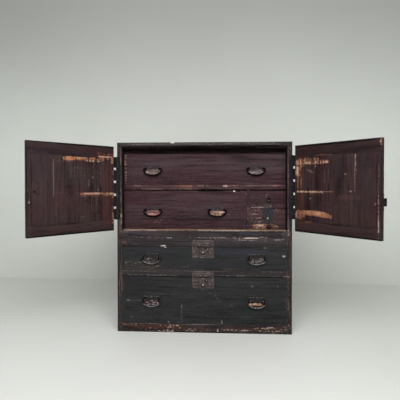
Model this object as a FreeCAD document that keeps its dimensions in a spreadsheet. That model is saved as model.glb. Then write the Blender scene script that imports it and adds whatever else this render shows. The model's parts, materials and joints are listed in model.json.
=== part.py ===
"""Isho clothing chest in two stacked cases: a double-door case with four drawers behind its doors,
standing on a case with a shallow and a deep drawer. Boards, rails, drawers, doors and ironwork are
separate pieces. Millimetres and degrees. The origin is on the floor, at the middle of the front
face: X runs to the right of someone facing the chest, Y runs to the back and Z runs up."""
import FreeCAD, Part
import math
import os
import re

# Driving sizes, in millimetres, and the two angles in degrees
SIZES = {
    # the two cases
    "case_width": 910,
    "case_depth": 430,
    "lower_height": 499,
    "upper_height": 496,
    "side_thickness": 24,
    "back_thickness": 9,
    "plank_gap": 0.5,
    "upper_top_thickness": 23,
    "upper_bottom_thickness": 20,
    "lower_top_thickness": 20,
    "lower_bottom_thickness": 15,
    "dust_board_thickness": 11,
    "rail_depth": 24,
    # levels of the lower case, from the floor up
    "base_rail_height": 45,
    "middle_rail_height": 32.5,
    "shallow_opening_height": 125.5,
    "lock_rail_height": 27,
    # levels of the upper case, from its bottom up
    "sill_height": 36,
    "middle_opening_height": 213.5,
    "small_lower_opening_height": 116,
    "small_rail_height": 22,
    "inner_middle_rail_height": 23.5,
    "inner_top_rail_height": 31,
    # what stands back behind the doors
    "inner_recess": 50,
    "inner_rail_depth": 22,
    "small_bay_width": 190,
    "divider_thickness": 13,
    "stop_strip_height": 8.5,
    "stop_strip_depth": 17,
    "stop_strip_gap": 1,
    # drawers
    "front_thickness": 18,
    "front_side_gap": 1.2,
    "front_bottom_gap": 0.8,
    "front_top_gap": 2,
    "shrunk_top_gap": 6.5,
    "front_arris": 1,
    "wall_side_gap": 1.5,
    "wall_thickness": 9,
    "wall_top_gap": 12,
    "drawer_bottom_thickness": 6,
    "slide_gap": 0.3,
    "drawer_back_gap": 12,
    # doors
    "door_thickness": 20,
    "door_proud": 2,
    "door_side_gap": 1.5,
    "door_meeting_gap": 1.5,
    "door_bottom_gap": 3.5,
    "door_top_gap": 2,
    "left_hinge_stile_width": 70,
    "right_hinge_stile_width": 54,
    "meeting_stile_width": 21,
    "door_top_rail_height": 57,
    "door_bottom_rail_height": 54,
    "panel_seam_from_hinge": 307,
    "left_door_angle": 134.3,
    "right_door_angle": 132.8,
    # door hinges
    "pin_outset": 2.1,
    "pin_forward": 2.6,
    "pin_radius": 1.45,
    "pin_clearance": 0.05,
    "pin_head_radius": 2.8,
    "pin_head_height": 1.6,
    "knuckle_radius": 3,
    "knuckle_gap": 0.3,
    "leaf_thickness": 1.5,
    "notch_height": 11.5,
    "door_leaf_width": 38,
    "door_leaf_setback": 2,
    "frame_leaf_width": 17,
    "left_hinge_rise": 54,
    "right_hinge_rise": 59,
    "hinge_top_margin": 51.5,
    # door lock plates
    "door_lock_rise": 165,
    "door_plate_height": 75,
    "door_plate_width": 58,
    "door_plate_thickness": 2,
    "tongue_height": 34,
    "tongue_reach": 11,
    "tongue_gap": 0.4,
    # drawer handles
    "handle_from_middle": 274,
    "top_handle_rise": 3,
    "middle_handle_offset": 70,
    "middle_handle_drop": 108.5,
    "shallow_handle_drop": 54.5,
    "deep_handle_drop": 120.5,
    "post_from_centre": 39,
    "post_standoff": 13,
    "post_stem_radius": 3.6,
    "post_eye_radius": 4.8,
    "plate_thickness": 1.2,
    "handle_plate_drop": 5,
    "handle_plate_rise": 17,
    "bail_end_radius": 2.8,
    "bail_middle_radius": 3.4,
    "bail_tip_inset": 6.2,
    "bail_shoulder_start": 5,
    "bail_shoulder_radius": 3.6,
    "bail_side_radius": 14,
    "bail_side_drop": 9,
    "bail_drop": 35,
    "eye_clearance": 0.05,
    # ring pulls of the two small drawers
    "ring_radius": 9,
    "ring_wire_radius": 2,
    "ring_standoff": 7.5,
    "ring_offset": 5,
    "ring_eye_radius": 5,
    "ring_eye_thickness": 4,
    "ring_eye_clearance": 0.45,
    "ring_stem_radius": 2.6,
    "upper_ring_drop": 46.5,
    "lower_ring_drop": 90,
    # drawer locks
    "lock_offset": -3.5,
    "lock_plate_width": 114,
    "lock_plate_height": 57,
    "lock_edge_gap": 0.6,
    "keeper_edge_gap": 0.5,
    "shallow_keeper_height": 32,
    "deep_keeper_height": 27,
    "keeper_ridge_radius": 1.2,
    "keeper_ridge_spacing": 8,
    "lock_ring_radius": 15,
    "lock_ring_wire_radius": 1.1,
    "shallow_button_drop": 28,
    "deep_button_drop": 40,
    "button_radius": 5,
    "button_stand": 9,
    "button_sunk": 9,
    "button_travel": 4,
    "button_gap": 0.3,
    "keyhole_radius": 3,
    "keyhole_slot_width": 3,
    "keyhole_slot_height": 8,
    "keyhole_rise": 20,
    "keyhole_offset": 12,
    "small_plate_width": 54,
    "small_plate_height": 73,
    "small_keeper_width": 44,
    "small_keeper_height": 18.5,
    "small_button_drop": 53,
    "small_keyhole_rise": 32,
    # how far a cutting solid runs past what it cuts
    "overrun": 1,
}

# How many of each there are
FINGER_JOINTS = 7
BACK_PLANKS = 4
HINGE_FINGERS = 5

SIDES = {"left": -1, "right": 1}

# Places worked out from the sizes; a place may use other places
PLACES = {
    "inner_half": "case_width / 2 - side_thickness",
    "inner_width": "2 * inner_half",
    "carcass_depth": "case_depth - back_thickness",
    "case_height": "lower_height + upper_height",
    "lower_top_level": "lower_height - lower_top_thickness",
    "shallow_top": "lower_top_level - lock_rail_height",
    "shallow_bottom": "shallow_top - shallow_opening_height",
    "deep_top": "shallow_bottom - middle_rail_height",
    "sill_top": "lower_height + sill_height",
    "upper_top_level": "case_height - upper_top_thickness",
    "top_opening_top": "upper_top_level - inner_top_rail_height",
    "middle_opening_top": "sill_top + middle_opening_height",
    "top_opening_bottom": "middle_opening_top + inner_middle_rail_height",
    "small_lower_top": "sill_top + small_lower_opening_height",
    "small_upper_bottom": "small_lower_top + small_rail_height",
    "divider_left": "inner_half - small_bay_width - divider_thickness",
    "small_left": "inner_half - small_bay_width",
    "small_middle": "inner_half - small_bay_width / 2",
    "inner_rail_back": "inner_recess + inner_rail_depth",
    "door_bottom": "sill_top + door_bottom_gap",
    "door_top": "upper_top_level - door_top_gap",
    "door_start": "pin_outset + side_thickness + door_side_gap",
    "door_end": "pin_outset + case_width / 2 - door_meeting_gap / 2",
    "door_face": "pin_forward - door_proud",
    "hinge_height": "door_top - door_bottom - left_hinge_rise - hinge_top_margin",
    "finger_height": f"(hinge_height - {HINGE_FINGERS - 1} * notch_height) / {HINGE_FINGERS}",
    "pin_bore": "pin_radius + pin_clearance",
    "eye_bore": "bail_end_radius + eye_clearance",
    "lock_line": "sill_top + door_lock_rise",
}

document = FreeCAD.newDocument("IshoChest")
sheet = document.addObject("Spreadsheet::Sheet", "Sizes")
for row, (alias, number) in enumerate(SIZES.items(), start=1):
    sheet.set(f"A{row}", str(number))
    sheet.setAlias(f"A{row}", alias)
document.recompute()

nodes = []


def size(alias):
    """Read one driving size back from the sheet."""
    return float(sheet.get(alias))


def bound(text):
    """Turn plain size and place names into an expression on the sheet."""
    def expand(match):
        word = match.group(0)
        if word in PLACES:
            return "(" + bound(PLACES[word]) + ")"
        return "Sizes." + word if word in SIZES else word
    return re.sub(r"[a-z][a-z_]+", expand, str(text))


def place(thing, x="0", y="0", z="0"):
    """Bind where a solid stands."""
    for axis, text in zip("xyz", (x, y, z)):
        thing.setExpression(f"Placement.Base.{axis}", bound(text))
    return thing


def turned(thing, axis, angle):
    """Turn a solid about one of the main axes before it is placed."""
    thing.Placement = FreeCAD.Placement(FreeCAD.Vector(), FreeCAD.Rotation(FreeCAD.Vector(*axis), angle))
    return thing


def new(kind, label):
    """Add an object and give it its label."""
    thing = document.addObject(kind, label)
    thing.Label = label
    return thing


def board(label, length, depth, height, x, y, z):
    """A squared piece of wood or iron: length along X, depth along Y and height along Z."""
    piece = new("Part::Box", label)
    for field, text in (("Length", length), ("Width", depth), ("Height", height)):
        piece.setExpression(field, bound(text))
    return place(piece, x, y, z)


def rod(label, radius, length, x, y, z, axis="y"):
    """A round piece that starts at its place and runs along one axis."""
    turns = {"x": ((0, 1, 0), 90), "y": ((1, 0, 0), -90), "z": ((0, 0, 1), 0)}
    piece = turned(new("Part::Cylinder", label), *turns[axis])
    piece.setExpression("Radius", bound(radius))
    piece.setExpression("Height", bound(length))
    return place(piece, x, y, z)


def ball(label, radius, x, y, z):
    """A round knob or dome."""
    piece = new("Part::Sphere", label)
    piece.setExpression("Radius", bound(radius))
    return place(piece, x, y, z)


def ridge_ring(label, radius, wire, x, y, z):
    """A raised ring around an axis that runs from front to back."""
    piece = turned(new("Part::Torus", label), (1, 0, 0), 90)
    piece.setExpression("Radius1", bound(radius))
    piece.setExpression("Radius2", bound(wire))
    return place(piece, x, y, z)


def joined(label, pieces):
    """Several shapes welded into one solid."""
    whole = new("Part::MultiFuse", label)
    whole.Shapes = pieces
    whole.Refine = True
    return whole


def group(label, pieces):
    """Several solids that stay separate and share one node."""
    whole = new("Part::Compound", label)
    whole.Links = pieces
    return whole


def cut(label, base, tools):
    """A shape with others taken out of it."""
    whole = new("Part::Cut", label)
    whole.Base = base
    whole.Tool = tools[0] if len(tools) == 1 else group(label + "_cutters", tools)
    return whole


def overlap(label, base, tool):
    """The part that two shapes share."""
    whole = new("Part::Common", label)
    whole.Base = base
    whole.Tool = tool
    return whole


def node(thing):
    """Mark an object as one of the chest's own pieces."""
    nodes.append(thing)
    return thing


# Cases


def finger_place(index):
    """Where one finger of a corner joint starts, counted from the front."""
    return f"(carcass_depth * {index} / {FINGER_JOINTS})"


def case_side(label, x, bottom, height, top_level, top_thickness):
    """A side board with fingers that stand up into the top board's ends."""
    pieces = [board(label + "_plank", "side_thickness", "carcass_depth", height, x, "0", bottom)]
    for index in range(1, FINGER_JOINTS, 2):
        pieces.append(board(f"{label}_finger_{index}", "side_thickness", finger_place(1), top_thickness,
                            x, finger_place(index), top_level))
    return node(joined(label, pieces))


def case_top(label, level, thickness):
    """A top board notched at both ends for the fingers of the sides."""
    plank = board(label + "_plank", "case_width", "carcass_depth", thickness,
                  "-case_width / 2", "0", level)
    notches = []
    for index in range(1, FINGER_JOINTS, 2):
        for end, x in (("left", "-case_width / 2"), ("right", "inner_half")):
            notches.append(board(f"{label}_{end}_notch_{index}", "side_thickness", finger_place(1),
                                 thickness, x, finger_place(index), level))
    return node(cut(label, plank, notches))


def between_sides(label, depth, height, y, z):
    """A board or rail that runs from side to side inside a case."""
    return board(label, "inner_width", depth, height, "-inner_half", y, z)


def back_planks(label, bottom, height):
    """Thin upright planks nailed over the back of a case."""
    planks = []
    for index in range(BACK_PLANKS):
        planks.append(board(f"{label}_{index + 1}", f"case_width / {BACK_PLANKS} - plank_gap",
                            "back_thickness", height,
                            f"-case_width / 2 + case_width * {index} / {BACK_PLANKS} + plank_gap / 2",
                            "carcass_depth", bottom))
    return planks


case_top("upper_top_board", "upper_top_level", "upper_top_thickness")
case_side("upper_left_side", "-case_width / 2", "lower_height", "upper_height - upper_top_thickness",
          "upper_top_level", "upper_top_thickness")
case_side("upper_right_side", "inner_half", "lower_height", "upper_height - upper_top_thickness",
          "upper_top_level", "upper_top_thickness")
node(between_sides("upper_bottom_board", "carcass_depth - rail_depth", "upper_bottom_thickness",
                   "rail_depth", "sill_top - upper_bottom_thickness"))
node(between_sides("upper_sill_rail", "rail_depth", "sill_height", "0", "lower_height"))
node(between_sides("door_stop_strip", "stop_strip_depth", "stop_strip_height",
                   "door_thickness - door_proud + stop_strip_gap",
                   "upper_top_level - stop_strip_height"))

case_top("lower_top_board", "lower_top_level", "lower_top_thickness")
case_side("lower_left_side", "-case_width / 2", "0", "lower_top_level",
          "lower_top_level", "lower_top_thickness")
case_side("lower_right_side", "inner_half", "0", "lower_top_level",
          "lower_top_level", "lower_top_thickness")
node(group("lower_front_rails", [
    between_sides("lock_rail", "rail_depth", "lock_rail_height", "0", "shallow_top"),
    between_sides("middle_rail", "rail_depth", "middle_rail_height", "0", "deep_top"),
    between_sides("base_rail", "rail_depth", "base_rail_height", "0", "0"),
]))
node(between_sides("lower_dust_board", "carcass_depth - rail_depth", "dust_board_thickness",
                   "rail_depth", "shallow_bottom - dust_board_thickness"))
node(between_sides("lower_bottom_board", "carcass_depth - rail_depth", "lower_bottom_thickness",
                   "rail_depth", "base_rail_height - lower_bottom_thickness"))
node(group("back_boards", back_planks("lower_back_plank", "0", "lower_height")
           + back_planks("upper_back_plank", "lower_height", "upper_height")))

# Frame behind the doors
node(group("inner_rails", [
    between_sides("inner_top_rail", "inner_rail_depth", "inner_top_rail_height",
                  "inner_recess", "top_opening_top"),
    between_sides("inner_middle_rail", "inner_rail_depth", "inner_middle_rail_height",
                  "inner_recess", "middle_opening_top"),
    board("small_rail", "small_bay_width", "inner_rail_depth", "small_rail_height",
          "small_left", "inner_recess", "small_lower_top"),
]))
node(group("inner_dust_boards", [
    between_sides("inner_dust_board", "carcass_depth - inner_rail_back", "dust_board_thickness",
                  "inner_rail_back", "top_opening_bottom - dust_board_thickness"),
    board("small_dust_board", "small_bay_width", "carcass_depth - inner_rail_back",
          "dust_board_thickness", "small_left", "inner_rail_back",
          "small_upper_bottom - dust_board_thickness"),
]))
node(joined("inner_divider", [
    board("divider_post", "divider_thickness", "inner_rail_depth", "middle_opening_top - sill_top",
          "divider_left", "inner_recess", "sill_top"),
    board("divider_panel", "divider_thickness", "carcass_depth - inner_rail_back",
          "top_opening_bottom - dust_board_thickness - sill_top",
          "divider_left", "inner_rail_back", "sill_top"),
]))

# Drawers


def softened(label, piece):
    """The same board with its four front edges eased."""
    document.recompute()
    front = piece.Shape.BoundBox.YMin
    corner = [number for number, edge in enumerate(piece.Shape.Edges, start=1)
              if edge.BoundBox.YMax - front < size("overrun") / 2]
    whole = new("Part::Chamfer", label)
    whole.Base = piece
    whole.Edges = [(number, size("front_arris"), size("front_arris")) for number in corner]
    return whole


def drawer(name, left, right, bottom, top, front, top_gap="front_top_gap", lock=None):
    """A drawer front, and its walls and bottom; a lock needs two holes in the front."""
    blank = board(name + "_front_plank", f"({right}) - ({left}) - 2 * front_side_gap", "front_thickness",
                  f"({top}) - ({bottom}) - {top_gap} - front_bottom_gap",
                  f"({left}) + front_side_gap", front, f"({bottom}) + front_bottom_gap")
    if lock:
        hole_start = f"{front} - overrun"
        hole_depth = "button_sunk + button_travel + button_gap + overrun"
        node(cut(name + "_front", softened(name + "_front_eased", blank), [
            rod(name + "_button_socket", "button_radius + button_gap", hole_depth,
                lock["x"], hole_start, lock["z"]),
            rod(name + "_key_socket", "keyhole_radius", hole_depth,
                lock["key_x"], hole_start, lock["key_z"])]))
    else:
        node(softened(name + "_front", blank))
    low = f"({bottom}) + slide_gap"
    wall_low = f"{low} + drawer_bottom_thickness"
    wall_height = f"({top}) - ({bottom}) - slide_gap - drawer_bottom_thickness - wall_top_gap"
    start = f"{front} + front_thickness"
    depth = f"carcass_depth - drawer_back_gap - ({start})"
    width = f"({right}) - ({left}) - 2 * wall_side_gap"
    node(group(name + "_box", [
        board(name + "_bottom", width, depth, "drawer_bottom_thickness",
              f"({left}) + wall_side_gap", start, low),
        board(name + "_left_wall", "wall_thickness", depth, wall_height,
              f"({left}) + wall_side_gap", start, wall_low),
        board(name + "_right_wall", "wall_thickness", depth, wall_height,
              f"({right}) - wall_side_gap - wall_thickness", start, wall_low),
        board(name + "_back_wall", f"{width} - 2 * wall_thickness", "wall_thickness", wall_height,
              f"({left}) + wall_side_gap + wall_thickness",
              "carcass_depth - drawer_back_gap - wall_thickness", wall_low),
    ]))


def lock_places(x, z, key_offset, key_rise):
    """Where a lock's button and its keyhole are."""
    return {"x": x, "z": z, "key_x": f"{x} + {key_offset}", "key_z": f"{z} + {key_rise}"}


SHALLOW_LOCK = lock_places("lock_offset", "shallow_top - front_top_gap - shallow_button_drop",
                           "keyhole_offset", "keyhole_rise")
DEEP_LOCK = lock_places("lock_offset", "deep_top - front_top_gap - deep_button_drop",
                        "keyhole_offset", "keyhole_rise")
SMALL_LOCK = lock_places("small_middle", "small_lower_top - front_top_gap - small_button_drop",
                         "0", "small_keyhole_rise")

drawer("top_drawer", "-inner_half", "inner_half", "top_opening_bottom", "top_opening_top",
       "inner_recess")
drawer("middle_drawer", "-inner_half", "divider_left", "sill_top", "middle_opening_top",
       "inner_recess", top_gap="shrunk_top_gap")
drawer("small_upper_drawer", "small_left", "inner_half", "small_upper_bottom", "middle_opening_top",
       "inner_recess", top_gap="shrunk_top_gap")
drawer("small_lower_drawer", "small_left", "inner_half", "sill_top", "small_lower_top",
       "inner_recess", lock=SMALL_LOCK)
drawer("shallow_drawer", "-inner_half", "inner_half", "shallow_bottom", "shallow_top", "0",
       lock=SHALLOW_LOCK)
drawer("deep_drawer", "-inner_half", "inner_half", "base_rail_height", "deep_top", "0",
       lock=DEEP_LOCK)

# Handles


def handle_plate(name, x, front, z):
    """A thin iron plate with a flat top and rounded lower ends, behind one bail."""
    bar = board(name + "_bar", "2 * post_from_centre", "plate_thickness",
                "handle_plate_drop + handle_plate_rise",
                f"{x} - post_from_centre", f"{front} - plate_thickness", f"{z} - handle_plate_drop")
    ends = []
    for side, sign in SIDES.items():
        ends.append(rod(f"{name}_{side}_end", "handle_plate_drop", "plate_thickness",
                        f"{x} + {sign} * post_from_centre", f"{front} - plate_thickness", z))
    return joined(name + "_plate", [bar] + ends)


def handle_post(name, x, front, z):
    """A stem with a round eye that carries one end of a bail."""
    stem = rod(name + "_stem", "post_stem_radius", "post_standoff - plate_thickness",
               x, f"{front} - post_standoff", z)
    eye = ball(name + "_eye", "post_eye_radius", x, f"{front} - post_standoff", z)
    bore = rod(name + "_bore", "eye_bore", "2 * post_eye_radius + 2 * overrun",
               f"{x} - post_eye_radius - overrun", f"{front} - post_standoff", z, axis="x")
    return cut(name, joined(name + "_blank", [stem, eye]), [bore])


def handle_irons(name, front, z, positions):
    """The plates and posts of one drawer's handles, as separate solids."""
    irons = []
    for number, x in enumerate(positions, start=1):
        part = f"{name}_{number}"
        irons.append(handle_plate(part, x, front, z))
        for side, sign in SIDES.items():
            irons.append(handle_post(f"{part}_{side}_post", f"{x} + {sign} * post_from_centre",
                                     front, z))
    return irons


def bail_shape():
    """A drooping iron bail, thicker in the middle, whose even round ends turn in to the posts."""
    tip = size("post_from_centre") - size("bail_tip_inset")
    shoulder = size("post_from_centre") + size("bail_shoulder_start")
    bend = size("bail_shoulder_radius")
    half = shoulder + bend
    side = size("bail_side_radius")
    side_drop = size("bail_side_drop")
    drop = size("bail_drop")
    lean = math.sqrt(1 / 2)
    centre_x = half - side
    deep = drop - side_drop
    belly = (centre_x ** 2 + deep ** 2 - side ** 2) / (2 * (deep - side))
    away = math.hypot(centre_x, belly - deep)
    touch_x = centre_x + side * centre_x / away
    touch_z = -side_drop - side * (belly - deep) / away
    turn = math.atan2(belly - deep, centre_x) / 2

    def at(x, z):
        return FreeCAD.Vector(x, 0, z)

    def mirrored(point):
        return FreeCAD.Vector(-point.x, point.y, point.z)

    right = [
        (at(shoulder, 0), at(shoulder + bend * lean, -bend + bend * lean), at(half, -bend)),
        (at(half, -bend), at(half, -side_drop)),
        (at(half, -side_drop),
         at(centre_x + side * math.cos(turn), -side_drop - side * math.sin(turn)),
         at(touch_x, touch_z)),
    ]
    left = [tuple(mirrored(point) for point in reversed(run)) for run in reversed(right)]
    bottom = (at(touch_x, touch_z), at(0, -drop), at(-touch_x, touch_z))
    edges = []
    for run in right + [bottom] + left:
        curve = Part.Arc(*run) if len(run) == 3 else Part.LineSegment(*run)
        edges.append(curve.toShape())
    spine = Part.Wire(edges)
    pipe = Part.BRepOffsetAPI.MakePipeShell(spine)
    along = FreeCAD.Vector(1, 0, 0)
    for point, radius in ((at(shoulder, 0), "bail_end_radius"), (at(0, -drop), "bail_middle_radius"),
                          (at(-shoulder, 0), "bail_end_radius")):
        pipe.add(Part.Wire([Part.makeCircle(size(radius), point, along)]))
    pipe.build()
    pipe.makeSolid()
    ends = []
    for point, way in ((at(shoulder, 0), -along), (at(-shoulder, 0), along)):
        ends.append(Part.makeCylinder(size("bail_end_radius"), shoulder - tip, point, way))
    return pipe.shape().fuse(ends)


def bail(label, x, front, z):
    """One bail hanging from its posts."""
    piece = new("Part::Feature", label)
    piece.Shape = bail_shape()
    return node(place(piece, x, f"{front} - post_standoff", z))


LEFT_AND_RIGHT = ("-handle_from_middle", "handle_from_middle")
HANDLES = {
    "top_drawer": ("inner_recess", "(top_opening_bottom + top_opening_top) / 2 + top_handle_rise",
                   LEFT_AND_RIGHT),
    "middle_drawer": ("inner_recess", "middle_opening_top - middle_handle_drop",
                      ("-handle_from_middle", "middle_handle_offset")),
    "shallow_drawer": ("0", "shallow_top - shallow_handle_drop", LEFT_AND_RIGHT),
    "deep_drawer": ("0", "deep_top - deep_handle_drop", LEFT_AND_RIGHT),
}
for name, (front, z, positions) in HANDLES.items():
    for side, x in zip(("left", "right"), positions):
        bail(f"{name}_{side}_bail", x, front, z)

# Locks and ring pulls


def lock_plate(name, width, height, front, top, lock):
    """A lock's face plate with its keyhole, its button hole and a raised ring around it."""
    x = lock["x"]
    face = f"{front} - plate_thickness"
    sheet_iron = board(name + "_sheet", width, "plate_thickness", height,
                       f"{x} - ({width}) / 2", face, f"{top} - ({height})")
    ring = ridge_ring(name + "_ring", "lock_ring_radius", "lock_ring_wire_radius",
                      x, face, lock["z"])
    backing = board(name + "_backing", width, "plate_thickness + 2 * lock_ring_wire_radius",
                    height, f"{x} - ({width}) / 2",
                    f"{face} - 2 * lock_ring_wire_radius", f"{top} - ({height})")
    blank = joined(name + "_blank", [sheet_iron, overlap(name + "_raised", ring, backing)])
    depth = "plate_thickness + 2 * lock_ring_wire_radius + 2 * overrun"
    start = f"{face} - 2 * lock_ring_wire_radius - overrun"
    return cut(name, blank, [
        rod(name + "_button_hole", "button_radius + button_gap", depth, x, start, lock["z"]),
        rod(name + "_keyhole", "keyhole_radius", depth, lock["key_x"], start, lock["key_z"]),
        board(name + "_keyhole_slot", "keyhole_slot_width", depth, "keyhole_slot_height",
              f"{lock['key_x']} - keyhole_slot_width / 2", start,
              f"{lock['key_z']} - keyhole_slot_height"),
    ])


def keeper_plate(name, width, height, x, front, bottom):
    """The plate above a lock, on the rail, with two raised ridges along it."""
    face = f"{front} - plate_thickness"
    pieces = [board(name + "_sheet", width, "plate_thickness", height,
                    f"{x} - ({width}) / 2", face, f"{bottom}")]
    for level, sign in (("lower", -1), ("upper", 1)):
        pieces.append(rod(f"{name}_{level}_ridge", "keeper_ridge_radius", width,
                          f"{x} - ({width}) / 2", f"{face}",
                          f"{bottom} + ({height}) / 2 + {sign} * keeper_ridge_spacing / 2", axis="x"))
    return joined(name, pieces)


def lock_button(label, lock, front):
    """The button that is pushed in to lock a drawer: a round bar with a domed end."""
    start = f"{front} - button_stand + button_radius"
    bar = rod(label + "_bar", "button_radius", "button_stand - button_radius + button_sunk",
              lock["x"], start, lock["z"])
    dome = ball(label + "_dome", "button_radius", lock["x"], start, lock["z"])
    return node(joined(label, [bar, dome]))


def ring_eye(name, x, front, z):
    """A stem and a flat round eye that a ring pull hangs in."""
    stem = rod(name + "_stem", "ring_stem_radius", "ring_standoff", x, f"{front} - ring_standoff", z)
    eye = rod(name + "_disc", "ring_eye_radius", "ring_eye_thickness",
              f"{x} - ring_eye_thickness / 2", f"{front} - ring_standoff", z, axis="x")
    bore = rod(name + "_bore", "ring_wire_radius + ring_eye_clearance",
               "ring_eye_thickness + 2 * overrun", f"{x} - ring_eye_thickness / 2 - overrun",
               f"{front} - ring_standoff", z, axis="x")
    return cut(name, joined(name + "_blank", [stem, eye]), [bore])


RING_X = "small_middle + ring_offset"
UPPER_RING_Z = "middle_opening_top - upper_ring_drop"
LOWER_RING_Z = "small_lower_top - lower_ring_drop"

node(group("top_drawer_handle_plates", handle_irons("top_handle", *HANDLES["top_drawer"])))
node(group("middle_drawer_handle_plates", handle_irons("middle_handle", *HANDLES["middle_drawer"])))
node(group("shallow_drawer_ironwork", handle_irons("shallow_handle", *HANDLES["shallow_drawer"]) + [
    lock_plate("shallow_lock_plate", "lock_plate_width", "lock_plate_height", "0",
               "shallow_top - front_top_gap - lock_edge_gap", SHALLOW_LOCK)]))
node(group("deep_drawer_ironwork", handle_irons("deep_handle", *HANDLES["deep_drawer"]) + [
    lock_plate("deep_lock_plate", "lock_plate_width", "lock_plate_height", "0",
               "deep_top - front_top_gap - lock_edge_gap", DEEP_LOCK)]))
node(group("small_lower_drawer_ironwork", [
    ring_eye("lower_ring_eye", RING_X, "inner_recess", LOWER_RING_Z),
    lock_plate("small_lock_plate", "small_plate_width", "small_plate_height", "inner_recess",
               "small_lower_top - front_top_gap - lock_edge_gap", SMALL_LOCK)]))
node(ring_eye("small_upper_drawer_ring_eye", RING_X, "inner_recess", UPPER_RING_Z))
node(group("keeper_plates", [
    keeper_plate("shallow_keeper", "lock_plate_width", "shallow_keeper_height", "lock_offset", "0",
                 "shallow_top + keeper_edge_gap"),
    keeper_plate("deep_keeper", "lock_plate_width", "deep_keeper_height", "lock_offset", "0",
                 "deep_top + keeper_edge_gap"),
    keeper_plate("small_keeper", "small_keeper_width", "small_keeper_height", "small_middle",
                 "inner_recess", "small_lower_top + keeper_edge_gap")]))
lock_button("shallow_lock_button", SHALLOW_LOCK, "0")
lock_button("deep_lock_button", DEEP_LOCK, "0")
lock_button("small_lock_button", SMALL_LOCK, "inner_recess")
for label, z in (("small_upper_drawer_ring", UPPER_RING_Z), ("small_lower_drawer_ring", LOWER_RING_Z)):
    node(ridge_ring(label, "ring_radius", "ring_wire_radius", RING_X,
                    "inner_recess - ring_standoff", f"{z} - ring_radius"))

# Doors, built as if shut, with the hinge pin at their own origin, then swung open


def swung(thing, side):
    """Swing a shut door's piece about its hinge pin to where it stands open."""
    turned(thing, (0, 0, 1), side)
    angle = "left_door_angle" if side > 0 else "right_door_angle"
    thing.setExpression("Placement.Rotation.Angle", bound(f"{-side} * {angle}"))
    return place(thing, f"{-side} * (case_width / 2 + pin_outset)", "-pin_forward")


def door_board(label, side, start, width, face, depth, bottom, height):
    """A piece of a shut door, measured from the hinge pin towards the middle of the chest."""
    x = f"{start}" if side > 0 else f"-({start}) - ({width})"
    return board(label, width, depth, height, x, face, bottom)


def door(name, side, stile):
    """A door with clamping rails above and below, two stiles and a two-board field."""
    width = "door_end - door_start"
    field_low = "door_bottom + door_bottom_rail_height"
    field_height = "door_top - door_top_rail_height - door_bottom - door_bottom_rail_height"

    def wood(label, start, board_width, bottom, height):
        return door_board(f"{name}_{label}", side, start, board_width, "door_face", "door_thickness",
                          bottom, height)

    node(swung(group(name + "_frame", [
        wood("top_rail", "door_start", width, "door_top - door_top_rail_height",
             "door_top_rail_height"),
        wood("bottom_rail", "door_start", width, "door_bottom", "door_bottom_rail_height"),
        wood("hinge_stile", "door_start", stile, field_low, field_height),
        wood("meeting_stile", "door_end - meeting_stile_width", "meeting_stile_width", field_low,
             field_height),
    ]), side))
    node(swung(group(name + "_panel", [
        wood("wide_board", f"door_start + {stile}", f"panel_seam_from_hinge - {stile}",
             field_low, field_height),
        wood("narrow_board", "door_start + panel_seam_from_hinge",
             "door_end - meeting_stile_width - door_start - panel_seam_from_hinge", field_low,
             field_height),
    ]), side))


def hinge(name, side, rise):
    """One long hinge: a fingered leaf on the door, a leaf on the case's front edge and its pin."""
    low = f"(door_bottom + {rise})"
    pitch = "(finger_height + notch_height)"
    leaf_start = "door_start + door_leaf_setback"
    pieces = [door_board(name + "_door_sheet", side, leaf_start, "door_leaf_width",
                         "door_face - leaf_thickness", "leaf_thickness", low, "hinge_height")]
    for count in range(HINGE_FINGERS):
        z = f"{low} + {count} * {pitch}"
        pieces.append(door_board(f"{name}_finger_{count + 1}", side, "0", leaf_start,
                                 "door_face - leaf_thickness", "leaf_thickness", z, "finger_height"))
        pieces.append(rod(f"{name}_door_knuckle_{count + 1}", "knuckle_radius", "finger_height",
                          "0", "0", z, axis="z"))
    bore = rod(name + "_door_bore", "pin_bore", "hinge_height + 2 * overrun", "0", "0",
               f"{low} - overrun", axis="z")
    node(swung(cut(name + "_door_leaf", joined(name + "_door_leaf_blank", pieces), [bore]), side))

    pin_x = f"{-side} * (case_width / 2 + pin_outset)"
    near = "knuckle_radius + 2 * knuckle_gap"
    frame_x = (f"-case_width / 2 - pin_outset + {near}" if side > 0
               else "case_width / 2 - frame_leaf_width")
    pieces = [board(name + "_frame_sheet", f"frame_leaf_width + pin_outset - ({near})",
                    "leaf_thickness", "hinge_height", frame_x, "-leaf_thickness", low)]
    for count in range(1, HINGE_FINGERS):
        z = f"{low} + {count} * {pitch} - notch_height + knuckle_gap"
        height = "notch_height - 2 * knuckle_gap"
        strap_x = pin_x if side > 0 else f"{pin_x} - ({near})"
        pieces.append(board(f"{name}_frame_strap_{count}", near, "leaf_thickness", height,
                            strap_x, "-leaf_thickness", z))
        pieces.append(rod(f"{name}_frame_knuckle_{count}", "knuckle_radius", height,
                          pin_x, "-pin_forward", z, axis="z"))
    bore = rod(name + "_frame_bore", "pin_bore", "hinge_height + 2 * overrun", pin_x, "-pin_forward",
               f"{low} - overrun", axis="z")
    frame_leaf = cut(name + "_frame_leaf", joined(name + "_frame_leaf_blank", pieces), [bore])

    pin = joined(name + "_pin", [
        rod(name + "_pin_shank", "pin_radius", "hinge_height + 2 * knuckle_gap", pin_x, "-pin_forward",
            f"{low} - knuckle_gap", axis="z"),
        rod(name + "_pin_foot", "pin_head_radius", "pin_head_height", pin_x, "-pin_forward",
            f"{low} - knuckle_gap - pin_head_height", axis="z"),
        rod(name + "_pin_head", "pin_head_radius", "pin_head_height", pin_x, "-pin_forward",
            f"{low} + hinge_height + knuckle_gap", axis="z")])
    return frame_leaf, pin


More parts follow.
